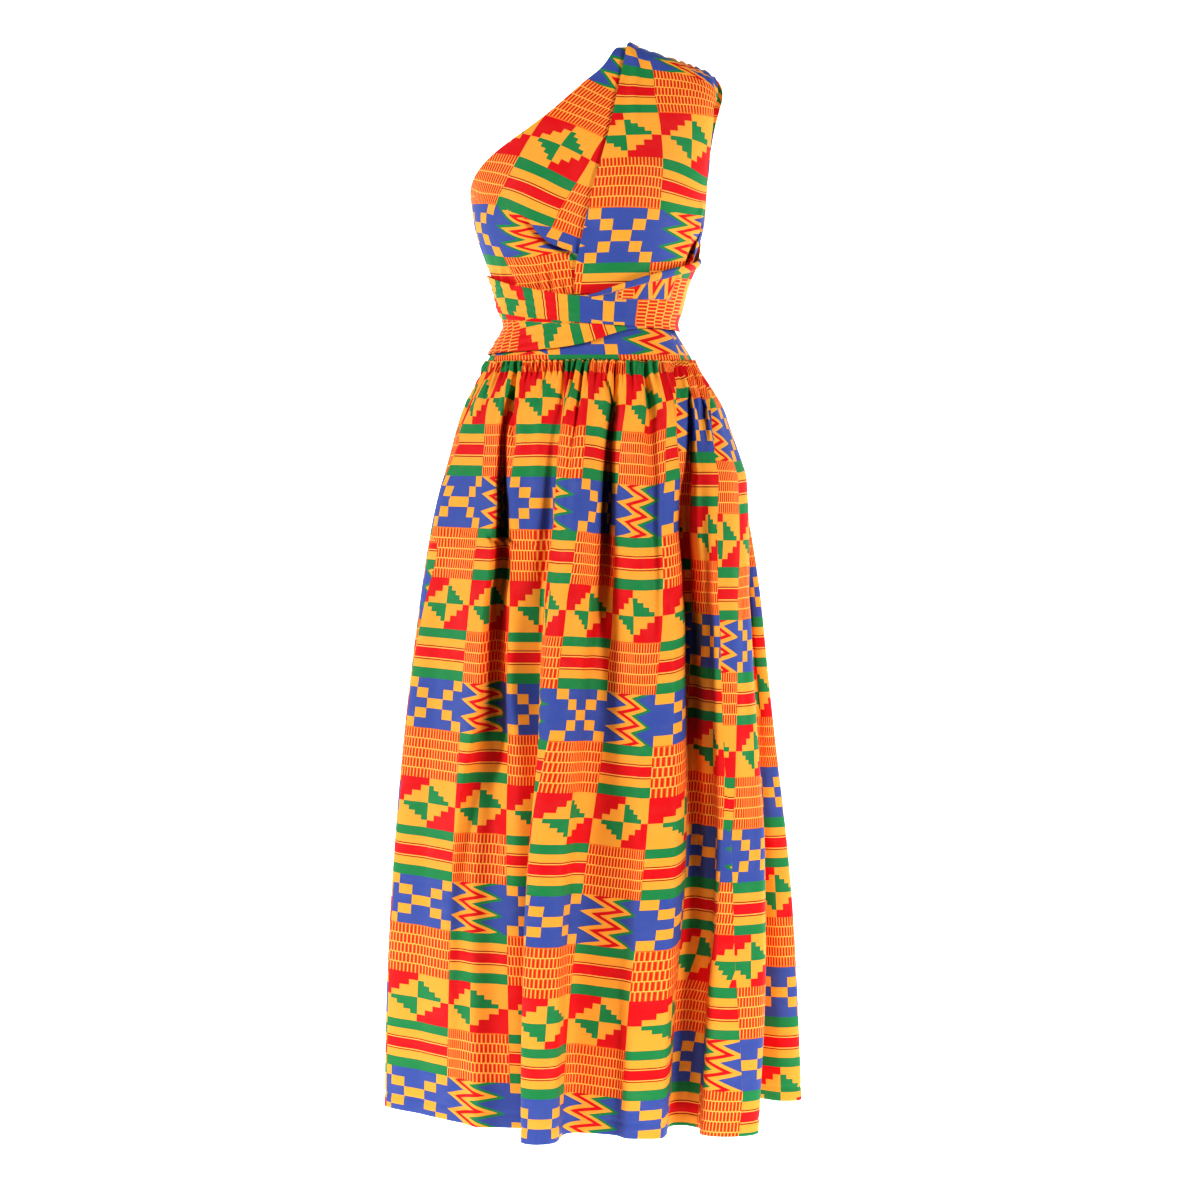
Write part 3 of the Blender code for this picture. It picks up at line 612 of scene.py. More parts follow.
# where the seams run between front and back: depth, share
LEFT_SEAM = (
    (0, 0.05), (0.15, 0.085), (0.23, 0.112), (0.24, 0.136), (0.276, 0.134), (0.316, 0.127),
    (0.36, 0.122), (0.41, 0.118),
)
RIGHT_SEAM = ((0.00, 0.470), (0.02, 0.460), (0.055, 0.447), (0.09, 0.444))
SEAM_GAP = 0.00004  # half the share between a seam's two mesh columns
NEAR_EDGE = 0.0006  # how close such a pair may come to the panel's edge
PAST_EDGE = 0.01  # share of cloth that is made past both edges of a panel, then left off


def column_at(shares, depths, levels, edges, columns):
    """Column numbers along the panel at each depth, between edges given at a few levels."""
    rows = []
    for row, depth in zip(shares, depths):
        places = np.array([np.interp(depth, levels, edge) for edge in np.transpose(edges)])
        numbers = np.array([np.interp(depth, levels, column) for column in np.transpose(columns)])
        outside = np.minimum(row - places[0], 0) + np.maximum(row - places[-1], 0)
        rows.append(np.interp(row, places, numbers) + outside * SKIRT_WIDTH / COLUMN)
    return np.array(rows)


# lines of the print down the front: where line 0 lies, then how many follow for each metre of
# depth and for its square, as the cloth is drawn out near the hem
FRONT_LINES = (0.0147, 14.78, 0.63)
BACK_LINES = (0.048, 14.33, 0.53)
FRONT_DROOP = (0.39, 0.045, 0.010)  # where the front sags at the waist: share, half width, depth


def front_print(shares, depths):
    """The front's print stands upright."""
    across = column_at(shares, depths, *zip(*FRONT_COLUMNS))
    place, wide, deep = FRONT_DROOP
    droop = deep * falloff(shares - place, wide)
    start, lines, drawn = FRONT_LINES
    fallen = depths[:, None] - start - droop * np.minimum(depths / 0.05, 1)[:, None]
    return np.stack([across, lines * fallen + drawn * fallen**2], axis=-1)


def back_print(shares, depths):
    """The back's print runs the other way up. It is joined from lengths, so it jumps at each."""
    down = depths[:, None] + 0 * shares
    join = np.interp(down, *np.array(JOIN).T)
    side = np.array(SIDE_COLUMNS)
    side = 3.0 - column_at(shares, depths, side[:, 0], side[:, 1:], [(0, 1)] * len(side))
    middle = np.array(JOIN_COLUMNS)
    middle = 1.0 - column_at(shares, depths, middle[:, 0], middle[:, 1:], [(0, 1)] * len(middle))
    across = np.where(shares < join, side, middle)
    hidden = 1.6 - (shares - HIDDEN_JOIN) * SKIRT_WIDTH / COLUMN
    across = np.where(shares < HIDDEN_JOIN, across, hidden)
    start, lines, drawn = BACK_LINES
    fallen = down - start - np.where(shares < join, 0, 0.014 * np.maximum(1 - down / 0.6, 0))
    line = 3 - lines * fallen - drawn * fallen**2
    line = np.where(shares < HIDDEN_JOIN, line, 3 - 15.0 * (down - 0.272))
    return np.stack([across, line], axis=-1)


def skirt_print(shares, depths):
    """Front or back, by the side seams. The left one runs a little round to the front."""
    around = np.where(shares > 0.8, shares - 1, shares)
    left = np.interp(depths, *np.array(LEFT_SEAM).T)[:, None]
    right = np.interp(depths, *np.array(RIGHT_SEAM).T)[:, None]
    on_front = (around >= left) & (around < right)
    back = back_print(np.where(around < 0.3, around + 1, around), depths)
    return np.where(on_front[..., None], front_print(around, depths), back)


def beside_seams(first, last, columns, seams):
    """Shares at each depth. A pair of mesh columns runs along each seam, so its edge is clean."""
    step = (last - first) / columns
    even = first + step * np.arange(-1, columns + 2)
    kept = [first - PAST_EDGE, first]
    for place, around, path in seams:
        kept += [place - SEAM_GAP, place + SEAM_GAP]
    kept += [last, last + PAST_EDGE]
    even = np.sort(np.concatenate([even, kept[2:-2]]))
    rows = []
    for depth in SKIRT_ROWS:
        moved = [first - PAST_EDGE, first]
        for place, around, path in seams:
            seam = np.interp(depth, *np.array(path).T) + around
            seam = min(max(seam, first + NEAR_EDGE), last - NEAR_EDGE)
            moved += [seam - SEAM_GAP, seam + SEAM_GAP]
        moved += [last, last + PAST_EDGE]
        rows.append(np.interp(even, kept, moved))
    return np.array(rows)


def skirt_panel(name, node, first, last, columns, table, seams):
    """A panel between two shares of the skirt, which has the fine folds that its solid has not."""
    shares = beside_seams(first, last, columns, seams)
    plain = skirt_grid(shares, SKIRT_ROWS)
    depths = SKIRT_ROWS[:, None]
    lift = gathers(shares, depths, table)
    lift = lift + creased(shares, depths + 0 * shares, LONG_FOLDS)
    lift = lift - STITCH_SUNK * falloff(depths - HEM_STITCH, STITCH_WIDTH)
    outer = plain + outward(plain) * lift[..., None]
    behind = turned(np.array([0.0, 1.0]), SHOWN_TURN)
    outer[..., :2] += deep_folds(shares, depths)[..., None] * behind
    inner = outer - outward(outer) * CLOTH
    cloth = skirt_print(shares, SKIRT_ROWS)
    outer, inner, cloth = outer[:, 1:-1], inner[:, 1:-1], cloth[:, 1:-1]
    sew(name, outer, inner, cloth, node)


skirt_panel(
    "front_panel", "skirt_front", 0.118, 0.444, 330, FRONT_GATHERS, [(0.128, 0, LEFT_SEAM)]
)
skirt_panel(
    "back_panel", "skirt_back", 0.444, 1.118, 336,
    list(SIDE_GATHERS) + back_gathers(0.520, 1.118),
    [
        (0.452, 0, RIGHT_SEAM),
        (0.530, 0, JOIN),
        (0.600, 0, [(0, HIDDEN_JOIN)]),
        (1.090, 1, LEFT_SEAM),
    ],
)

# Waistband: a doubled band of the same cotton, cut crosswise and sewn to the gathered skirt. It is
# tight to the waist, and the wraps hide all but its lowest edge.

# the general figure: height, half width, front, back
FIGURE = (
    (-0.44, 0.146, 0.108, 0.104), (-0.409, 0.133, 0.098, 0.094), (-0.385, 0.119, 0.09, 0.085),
    (-0.364, 0.1075, 0.085, 0.08), (-0.343, 0.113, 0.087, 0.081), (-0.31, 0.121, 0.094, 0.086),
    (-0.28, 0.134, 0.102, 0.091), (-0.247, 0.146, 0.11, 0.096), (-0.2, 0.154, 0.114, 0.101),
    (-0.14, 0.16, 0.106, 0.102), (-0.08, 0.169, 0.084, 0.09), (-0.04, 0.1765, 0.06, 0.068),
    (0, 0.18, 0.042, 0.046),
)
BUST = (0.078, -0.215, 0.048, 0.050, 0.016)  # aside, height, half width, half height, fullness
SHOULDER = (-0.004, 0.055, 0.33)  # height at the neck, where the neck ends, slope outwards
SHOULDER_START_Z = -0.12
BASE_CLEAR = 0.001  # from the figure to the innermost cloth
LAYER_PITCH = 0.0023
REACH_LIMIT = 0.4
HALVINGS = 26


def figure_ratio(points, clear):
    """Below 1 inside the general figure grown by clear, and above 1 outside it."""
    x, y, z = np.moveaxis(points, -1, 0)
    table = np.array(FIGURE)
    height = np.clip(z, table[0, 0], table[-1, 0])
    half_width, front, back = np.moveaxis(smooth(height, table[:, 0], table[:, 1:]), -1, 0)
    aside, level, wide, high, full = BUST
    bust = ((np.abs(x) - aside) / wide) ** 2 + ((z - level) / high) ** 2
    front = front + full * np.exp(-bust / 2)
    deep = np.where(y < 0, front, back) + clear
    side = (np.abs(x) / (half_width + clear)) ** SECTION_POWER
    side = (side + (np.abs(y) / deep) ** SECTION_POWER) ** (1 / SECTION_POWER)
    neck_z, neck_side, slope = SHOULDER
    shoulder = neck_z + clear - slope * np.maximum(x - neck_side, 0)
    top = np.maximum(z - SHOULDER_START_Z, 0) / (shoulder - SHOULDER_START_Z)
    return (side**8 + top**8) ** (1 / 8)


def on_figure(starts, turn, rise, clear):
    """Where lines from inside the figure, turned and raised so, reach a clearance from it."""
    level = np.cos(np.radians(rise))
    heading = np.concatenate([from_turn(turn, level), np.sin(np.radians(rise))[..., None]], axis=-1)
    near = np.zeros(np.shape(turn))
    far = np.full(np.shape(turn), REACH_LIMIT)
    for _ in range(HALVINGS):
        middle = (near + far) / 2
        inside = figure_ratio(starts + heading * middle[..., None], clear) < 1
        near = np.where(inside, middle, near)
        far = np.where(inside, far, middle)
    return starts + heading * near[..., None]


def layer_clear(layer):
    return BASE_CLEAR + layer * LAYER_PITCH


def band_points(turns, heights, clear):
    """Points round the figure at turns and heights, at a clearance from it."""
    turn = np.broadcast_to(turns, heights.shape)
    starts = np.stack([0 * heights, 0 * heights, heights], axis=-1)
    return on_figure(starts, turn, 0 * heights, clear)


def run_lengths(points, axis):
    """Distances along a grid of points, from its first row or column."""
    steps = np.linalg.norm(np.diff(points, axis=axis), axis=-1)
    first = np.zeros_like(np.take(steps, [0], axis=axis))
    return np.concatenate([first, np.cumsum(steps, axis=axis)], axis=axis)


BAND_EDGE = 32.0  # turn in front where one column of the print ends
BAND_LINE_Z = -0.4021
BAND_BOTTOM_Z = -0.409
BAND_TOP_Z = -0.325
BAND_THICKNESS = 0.0014
BAND_SEAM_TURN = 0.08  # left free at both side seams

for name, node, first, last in (
    ("band_front", "waistband_front", -101.0, 79.0),
    ("band_back", "waistband_back", 79.0, 259.0),
):
    turns = np.linspace(first + BAND_SEAM_TURN, last - BAND_SEAM_TURN, 120)
    heights = np.linspace(BAND_BOTTOM_Z, BAND_TOP_Z, 24)[:, None] * np.ones(len(turns))
    outer = band_points(turns, heights, layer_clear(0) + BAND_THICKNESS)
    inner = band_points(turns, heights, layer_clear(0))
    lengths = run_lengths(outer, 1)
    edge = np.searchsorted(turns, BAND_EDGE if first < 0 else first)
    side = lengths - lengths[:, edge : edge + 1] + (0.0 if first < 0 else 0.08)
    cloth = np.stack([2 - side / COLUMN, 2 + (heights - BAND_LINE_Z) / ROW], axis=-1)
    sew(name, outer, inner, cloth, node)

# Straps: two long strips of the same cotton, hemmed at both edges and sewn into the band in front,
# where they are drawn up a little. The left strap lies over the right one, and both go over the left
# shoulder.

# stations along a strap: its layer, then x and z of a line's start inside the figure, the line's
# turn and its rise in degrees, for the left edge and then for the right edge
STRAP_RIGHT_FRONT = (
    (0, -0.05, -0.3247, -95, 0, 0.012, -0.3247, 0, 0),
    (0, -0.05, -0.29, -95, 0, 0.016, -0.302, 0, 0),
    (0, -0.05, -0.256, -94, 0, 0.024, -0.275, 0, 0),
    (0, -0.052, -0.223, -90, 0, 0.036, -0.245, 0, 0),
    (0, -0.06, -0.199, -76, 0, 0.05, -0.214, 0, 0),
    (0, -0.078, -0.178, -50, 0, 0.064, -0.182, 0, 0),
    (0, -0.086, -0.147, -17, 0, 0.078, -0.15, 0, 0),
    (0, -0.061, -0.111, 0, 0, 0.09, -0.119, 0, 0),
    (0, -0.024, -0.081, 0, 0, 0.099, -0.092, 0, 0),
    (0, 0.01, -0.06, 0, 11, 0.106, -0.08, 0, 14),
    (0, 0.031, -0.068, 0, 38, 0.112, -0.08, 0, 38),
    (0, 0.044, -0.07, 0, 66, 0.116, -0.08, 0, 63),
    (0, 0.053, -0.07, 0, 89.8, 0.118, -0.08, 0, 89.8),
)
STRAP_LEFT_FRONT = (
    (1, 0, -0.3247, 0, 0, 0.05, -0.3247, 86, 0),
    (1, 0.003, -0.296, 0, 0, 0.05, -0.296, 84, 0),
    (1, 0.012, -0.264, 0, 0, 0.05, -0.262, 78, 0),
    (1, 0.022, -0.23, 0, 0, 0.055, -0.228, 73, 0),
    (1, 0.03, -0.196, 0, 0, 0.06, -0.194, 73, 0),
    (1, 0.038, -0.162, 0, 0, 0.07, -0.16, 76, 0),
    (1, 0.045, -0.129, 0, 0, 0.08, -0.128, 77, 0),
    (1, 0.05, -0.099, 0, 0, 0.095, -0.102, 74, 0),
    (1, 0.053, -0.077, 0, 8, 0.12, -0.086, 64, 6),
    (1, 0.056, -0.07, 0, 34, 0.145, -0.084, 56, 22),
    (1.2, 0.058, -0.07, 0, 61, 0.158, -0.084, 40, 52),
    (1.3, 0.06, -0.07, 0, 89.8, 0.166, -0.084, 30, 89.8),
)
STRAP_LEFT_BACK = (
    (1.3, 0.06, -0.07, 180, 89.8, 0.166, -0.084, 150, 89.8),
    (1.2, 0.06, -0.07, 180, 61, 0.158, -0.084, 140, 52),
    (1, 0.06, -0.07, 180, 34, 0.145, -0.084, 128, 22),
    (1, 0.06, -0.077, 180, 8, 0.12, -0.086, 124, 6),
    (1, 0.06, -0.102, 180, 0, 0.095, -0.102, 124, 0),
    (1, 0.058, -0.136, 180, 0, 0.08, -0.13, 124, 0),
    (1.2, 0.058, -0.176, 180, 0, 0.07, -0.165, 123, 0),
    (1.7, 0.06, -0.222, 176, 0, 0.06, -0.2, 127, 0),
    (2.3, 0.06, -0.27, 166, 0, 0.05, -0.232, 126, 0),
    (3, 0.05, -0.318, 150, 0, 0.05, -0.258, 119, 0),
    (3, 0.03, -0.352, 132, 0, 0.03, -0.271, 110, 0),
    (3, 0.008, -0.368, 114, 0, 0.008, -0.275, 101, 0),
    (3, 0, -0.371, 97.1, 0, 0, -0.276, 97.1, 0),
)
STRAP_RIGHT_BACK = (
    (0, 0.053, -0.07, -180, 89.8, 0.118, -0.08, -180, 89.8),
    (0, 0.053, -0.07, -180, 62, 0.118, -0.08, -180, 63),
    (0, 0.046, -0.07, -180, 36, 0.117, -0.08, -180, 38),
    (0, 0.034, -0.075, -180, 11, 0.113, -0.085, -180, 15),
    (0, 0.012, -0.095, -180, 0, 0.104, -0.115, -180, 0),
    (0, -0.016, -0.125, -180, 0, 0.09, -0.16, -180, 0),
    (0, -0.044, -0.158, -180, 0, 0.068, -0.205, -180, 0),
    (0.3, -0.068, -0.194, -177, 0, 0.04, -0.25, -180, 0),
    (0.9, -0.075, -0.235, -165, 0, 0.006, -0.295, -180, 0),
    (1.5, -0.06, -0.275, -145, 0, -0.03, -0.335, -172, 0),
    (1.9, -0.045, -0.31, -124, 0, -0.045, -0.37, -150, 0),
    (2, -0.02, -0.335, -107, 0, -0.025, -0.394, -122, 0),
    (2, 0, -0.345, -97.1, 0, 0, -0.402, -97.1, 0),
)


# corners of the print's blocks: column, row, then across and along the strap laid flat
RIGHT_STRAP_PRINT = (
    (1.9, 2, -0.0446, 0.3567), (1.46, 2, -0.0009, 0.3407), (2, 1, -0.0677, 0.2966),
    (1, 1, 0.0354, 0.2613), (2, 0, -0.049, 0.2253), (1, 0, 0.075, 0.1677), (2, -1, -0.0069, 0.127),
    (2.53, -1, -0.0556, 0.128), (1.5, -1, 0.042, 0.1125), (1, -1, 0.0886, 0.0978),
    (0.82, -1, 0.103, 0.0929), (0.82, -1.2, 0.0973, 0.081),
)
UNDER_SWAG_PRINT = (
    (2.53, -1, -0.0556, 0.128), (2, -1, -0.0069, 0.127), (1.5, -1, 0.042, 0.1125),
    (2, -2, 0.0105, 0.0537), (1, -2, 0.106, 0.0662), (2, -3, 0.028, -0.0111), (1, -3, 0.098, 0),
)
LEFT_STRAP_PRINT = (
    (2, 2, -0.0338, 0.294), (2, 1, -0.0219, 0.2402), (1.05, 1, 0.0627, 0.2416),
    (2, 0, -0.0105, 0.1803), (1.1, 0, 0.0735, 0.1581), (3, -1, -0.0941, 0.1154), (2, -1, 0, 0.1138),
    (1.2, -1, 0.0796, 0.1091), (3, -2, -0.0892, 0.042), (2, -2, -0.0032, 0.0437),
)
PLAIN_PRINT = (
    (2, 0, -0.0925, 0), (0, 0, 0.0925, 0), (2, 5, -0.0925, 0.335), (0, 5, 0.0925, 0.335),
)


def printed_at(across, along, corners):
    """Columns and rows of the print over cloth laid flat, on a smooth sheet through its corners."""
    corners = np.array(corners, float)
    fixed = corners[:, 2:]

    def pull(places):
        apart = np.linalg.norm(places[:, None] - fixed[None], axis=2)
        return apart**2 * np.log(apart + 1e-9)

    count = len(corners)
    level = np.column_stack([np.ones(count), fixed])
    sheet = np.block([[pull(fixed) + 2e-4 * np.eye(count), level], [level.T, np.zeros((3, 3))]])
    weights = np.linalg.solve(sheet, np.concatenate([corners[:, :2], np.zeros((3, 2))]))
    places = np.column_stack([across.ravel(), along.ravel()])
    result = pull(places) @ weights[:-3]
    result += np.column_stack([np.ones(len(places)), places]) @ weights[-3:]
    return result.reshape(*across.shape, 2)


def pleated(across, along, creases):
    """As creased, on straps: each crease's two ends as across and along, half width, height."""
    height = 0 * across
    for x0, y0, x1, y1, wide, high in creases:
        length = np.hypot(x1 - x0, y1 - y0)
        part = ((across - x0) * (x1 - x0) + (along - y0) * (y1 - y0)) / length**2
        off = ((along - y0) * (x1 - x0) - (across - x0) * (y1 - y0)) / length
        held = np.clip(part, 0, 1)
        past = (part - held) * length
        ends = falloff(past, wide) * np.sin(np.pi * (0.10 + 0.80 * held)) ** 0.6
        height = height + high * ends * falloff(off, wide)
    return height


# the right strap's cloth sags over itself under the bust: across and along it where it folds, height
SWAG = (
    (-0.1, 0.15, 0), (-0.0069, 0.127, 0), (0.042, 0.1125, 0), (0.0624, 0.0995, 0.0035),
    (0.0805, 0.0827, 0.008), (0.0902, 0.0741, 0.0085), (0.1045, 0.0689, 0.007),
    (0.1134, 0.0638, 0.003), (0.12, 0.0605, 0.0005), (0.16, 0.055, 0),
)


DRAWN_HEIGHT = 0.0028
DRAWN_REACH = 0.038
BUNCHED_HEIGHT = 0.0030
BUNCHED_REACH = 0.035
LIP_WIDTH = 0.05  # as a part of the strap's width
DEEPEST = -0.0006  # as far in as a crease may go towards the cloth below
STRAP_THICKNESS = 0.0012


def swag_fold(across, along):
    """How far the cloth is above the fold, and how far it stands out above it and in below it."""
    places, edge, height = np.array(SWAG).T
    above = along - np.interp(across, places, edge)
    height = np.interp(across, places, height)
    out = falloff(above, 0.015) * (above > 0)
    sunk = 1.4 * falloff(above + 0.003, 0.004) * (above <= 0)
    return above, height * (out - sunk)


def strap(
    name, node, stations, rows, columns, corners, creases=(), drawn=0, bunched=0, lip=0, under=None,
    hollows=(), reach=(0, 0),
):
    """A strap over the figure: creased, drawn up in waves at its start or bunched in waves at its
    end, with a lip at its left edge, hollows, and a reach past its right edge."""
    stations = np.array(stations, float)
    count = len(stations) - 1
    lines = smooth(np.linspace(0, count, rows), np.arange(count + 1), stations)
    further = np.interp(np.linspace(0, count, rows), np.arange(len(reach)), reach)
    part = np.linspace(0, 1, columns) * (1 + further[:, None])
    ends = lines[:, None, 1:5] * (1 - part[..., None]) + lines[:, None, 5:] * part[..., None]
    x, z, turns, rise = np.moveaxis(ends, -1, 0)
    starts = np.stack([x, 0 * x, z], axis=-1)
    clear = layer_clear(lines[:, :1]) + 0 * part
    flat = on_figure(starts, turns, rise, clear)
    widths = run_lengths(flat, 1)
    middles = np.array([np.interp(0.5, *row) for row in zip(part, widths)])
    across = widths - middles[:, None]
    middle = columns // 2
    along = run_lengths(flat, 0)[:, middle : middle + 1] + 0 * part
    lift = pleated(across, along, creases)
    wave = np.abs(np.sin(np.pi * part * max(drawn, bunched) + 1.3 * np.sin(9 * part))) ** 0.8
    if drawn:
        lift = lift + DRAWN_HEIGHT * wave * falloff(along, DRAWN_REACH, 1.5)
    if bunched:
        left = along.max() - along
        lift = lift + BUNCHED_HEIGHT * wave * falloff(left, BUNCHED_REACH, 1.5)
    lift = lift + lip * falloff(part, LIP_WIDTH)
    lift = np.maximum(lift, DEEPEST)
    cloth = printed_at(across, along, corners)
    if under:
        above, fold = swag_fold(across, along)
        lift = lift + fold
        cloth = np.where(above[..., None] < 0, printed_at(across, along, under), cloth)
    inner = on_figure(starts, turns, rise, clear + lift)
    outer = on_figure(starts, turns, rise, clear + lift + STRAP_THICKNESS)
    hollow = pleated(across, along, hollows)[..., None]
    behind = turned(np.array([0.0, 1.0]), SHOWN_TURN)
    inner[..., :2] += hollow * behind
    outer[..., :2] += hollow * behind
    sew(name, outer, inner, cloth, node)


# creases: two ends across and along the strap laid flat, half width, height
RIGHT_STRAP_CREASES = (
    (0.06, 0, 0.07, 0.05, 0.004, 0.004),
    (0.078, 0, 0.08, 0.052, 0.004, 0.005),
    (0.092, 0, 0.088, 0.046, 0.0035, 0.004),
    (0.02, 0, 0.03, 0.05, 0.004, 0.003),
    (-0.01, 0, 0, 0.036, 0.004, 0.003),
)
ARMHOLE_HOLLOWS = ((0.083, 0.092, 0.055, 0.034, 0.0058, 0.034),)
# cloth past the right edge at each station, as a part of the strap's width
ARMHOLE_REACH = (0, 0.03, 0.12, 0.18, 0.10, 0.02, 0, 0, 0)
LEFT_STRAP_CREASES = (
    (0.07, 0.02, 0.078, 0.12, 0.006, 0.005),
    (0.05, 0, 0.06, 0.09, 0.005, 0.003),
    (-0.06, 0.33, -0.05, 0.22, 0.006, 0.0025),
)
strap(
    "right_strap_front", "strap_right_front", STRAP_RIGHT_FRONT, 260, 150,
    RIGHT_STRAP_PRINT, RIGHT_STRAP_CREASES, drawn=12, under=UNDER_SWAG_PRINT,
)
strap(
    "left_strap_front", "strap_left_front", STRAP_LEFT_FRONT, 150, 110,
    LEFT_STRAP_PRINT, LEFT_STRAP_CREASES, bunched=8, lip=0.003, hollows=ARMHOLE_HOLLOWS,
    reach=ARMHOLE_REACH,
)
strap("left_strap_back", "strap_left_back", STRAP_LEFT_BACK, 130, 70, PLAIN_PRINT)
strap("right_strap_back", "strap_right_back", STRAP_RIGHT_BACK, 130, 70, PLAIN_PRINT)

# Wraps: the straps' last stretches, each folded into long pleats and wound once round the waist,
# the lower one first.

# stations round the waist: turn, top edge, bottom edge
WRAP_UPPER = (
    (96.9, -0.276, -0.371), (62, -0.292, -0.368), (32, -0.312, -0.364), (6, -0.326, -0.361),
    (-36, -0.315, -0.354), (-78, -0.297, -0.345), (-112, -0.3, -0.35), (-146, -0.312, -0.358),
    (-178, -0.328, -0.368),
)
WRAP_LOWER = (
    (-96.9, -0.345, -0.402), (-62, -0.347, -0.399), (-28, -0.35, -0.396), (6, -0.352, -0.388),
    (38, -0.338, -0.371), (66, -0.33, -0.367), (98, -0.327, -0.366), (138, -0.328, -0.366),
    (178, -0.332, -0.368),
)


WEDGE_Z = -0.331  # above it, a wedge of the upper wrap's cloth is laid over the rest
WRAP_THICKNESS = 0.0010


def upper_roll(lengths):
    """Width of the strip that is folded over along the upper wrap's top edge, at the left side."""
    return np.interp(lengths, (0.0, 0.10, 0.15, 0.19), (0.0125, 0.0105, 0.0075, 0.0))


def upper_wrap_print(lengths, heights, below_top):
    """The print of the upper wrap, which jumps where its top edge is folded over itself."""
    middle = np.interp(lengths, (0.05, 0.15, 0.30, 0.45), (-0.349, -0.347, -0.327, -0.330))
    column = 0.5 + (heights - middle) / COLUMN
    row = 2.5 - (lengths - 0.150) / 0.0745
    row = np.where(lengths < 0.06, np.interp(lengths, (0, 0.03, 0.06), (4.2, 3.97, 3.708)), row)
    wedge = (heights > WEDGE_Z) & (lengths > 0.061) & (lengths < 0.140)
    column, row = column + 0.45 * wedge, row - 0.9 * wedge
    strip = np.interp(
        lengths, (0.00, 0.025, 0.050, 0.089, 0.104, 0.133, 0.148, 0.19),
        (1, 1.36, 1.62, 2.18, 2.36, 2.64, 2.82, 3.4),
    )
    rolled = below_top < upper_roll(lengths)
    column = np.where(rolled, strip, column)
    row = np.where(rolled, 2.30 + 8.0 * (below_top - 0.005), row)
    return np.stack([column, row], axis=-1)


def lower_roll(lengths):
    """The same on the lower wrap, which is folded over only near the wearer's right."""
    return 0.010 - 0.02 * np.abs(lengths - 0.13)


def lower_wrap_print(lengths, heights, below_top):
    column = 0.5 + (heights + 0.363 - 0.16 * (lengths - 0.135)) / COLUMN
    row = (lengths - 0.104 + 0.3 * (heights + 0.370)) / 0.0742
    rolled = below_top < lower_roll(lengths)
    return np.stack([column + 0.40 * rolled, row + 0.3 * rolled], axis=-1)


def rolled_edge(roll, below_top, high):
    """A half round along the top edge, as wide as its roll."""
    within = np.clip(below_top / np.maximum(roll, 1e-4), 0, 1)
    return high * np.sqrt(np.maximum(1 - (2 * within - 1) ** 2, 0)) * (roll > 0.001)


def upper_wrap_lift(lengths, heights, below_top):
    lift = rolled_edge(upper_roll(lengths), below_top, 0.0030)
    wedge = np.clip((heights - WEDGE_Z) / 0.0012, 0, 1) * np.clip((0.150 - lengths) / 0.01, 0, 1)
    pleats = 0.0009 * np.sin(2 * np.pi * (heights - 0.10 * lengths) / 0.021) ** 2
    pleats = pleats * np.clip((lengths - 0.15) / 0.10, 0.15, 1)
    return lift + 0.0009 * wedge + pleats


def lower_wrap_lift(lengths, heights, below_top):
    lift = rolled_edge(lower_roll(lengths), below_top, 0.0012)
    return lift + 0.0010 * np.sin(2 * np.pi * (heights - 0.18 * lengths) / 0.024) ** 2


for name, node, stations, layer, printed, lifted in (
    ("upper_wrap", "wrap_upper", WRAP_UPPER, 3, upper_wrap_print, upper_wrap_lift),
    ("lower_wrap", "wrap_lower", WRAP_LOWER, 2, lower_wrap_print, lower_wrap_lift),
):
    count = len(stations)
    lines = smooth(np.linspace(0, count - 1, 260), np.arange(count), stations)
    part = np.linspace(0, 1, 64)
    heights = lines[:, 1:2] * (1 - part) + lines[:, 2:] * part
    below_top = lines[:, 1:2] - heights
    clear = layer_clear(layer) + 0 * heights
    lengths = run_lengths(band_points(lines[:, :1], heights, clear), 0)[:, 32:33] + 0 * part
    clear = clear + lifted(lengths, heights, below_top)
    inner = band_points(lines[:, :1], heights, clear)
    outer = band_points(lines[:, :1], heights, clear + WRAP_THICKNESS)
    cloth = printed(lengths, heights, below_top)
    sew(name, outer, inner, cloth, node)

# Knot and ends: the two straps tied once behind, with their ends hanging over the band.

KNOT_TURN = 180
KNOT_HALF_TURN = 19
KNOT_Z = -0.349
KNOT_HALF_HEIGHT = 0.032
KNOT_CLEAR = 0.0113  # from the figure, over both wraps and their pleats
KNOT_DEPTH = 0.026
END_CLEAR = 0.0086  # from the skirt, over its gathers
END_THICKNESS = 0.0014
END_TURNS = (0.6, 11.6)  # from the back's middle to an end's two edges
END_DEPTHS = (0.004, 0.22)  # where an end hangs on the skirt
END_BAND_Z = (-0.3813, -0.403)  # where it lies on the band

steps = np.linspace(-1, 1, 41)
over, up = np.meshgrid(steps, steps)
round_over = over * np.sqrt(1 - up**2 / 2)
round_up = up * np.sqrt(1 - over**2 / 2)
raised = np.sqrt(np.maximum(1 - round_over**2 - round_up**2, 0))
turns = KNOT_TURN + KNOT_HALF_TURN * round_over
heights = KNOT_Z + KNOT_HALF_HEIGHT * round_up
inner = band_points(turns, heights, KNOT_CLEAR)
outer = band_points(turns, heights, KNOT_CLEAR + END_THICKNESS + KNOT_DEPTH * raised)
cloth = np.stack([over * 0.5, up * 0.7], axis=-1)
sew("knot", outer, inner, cloth, "tie_knot")

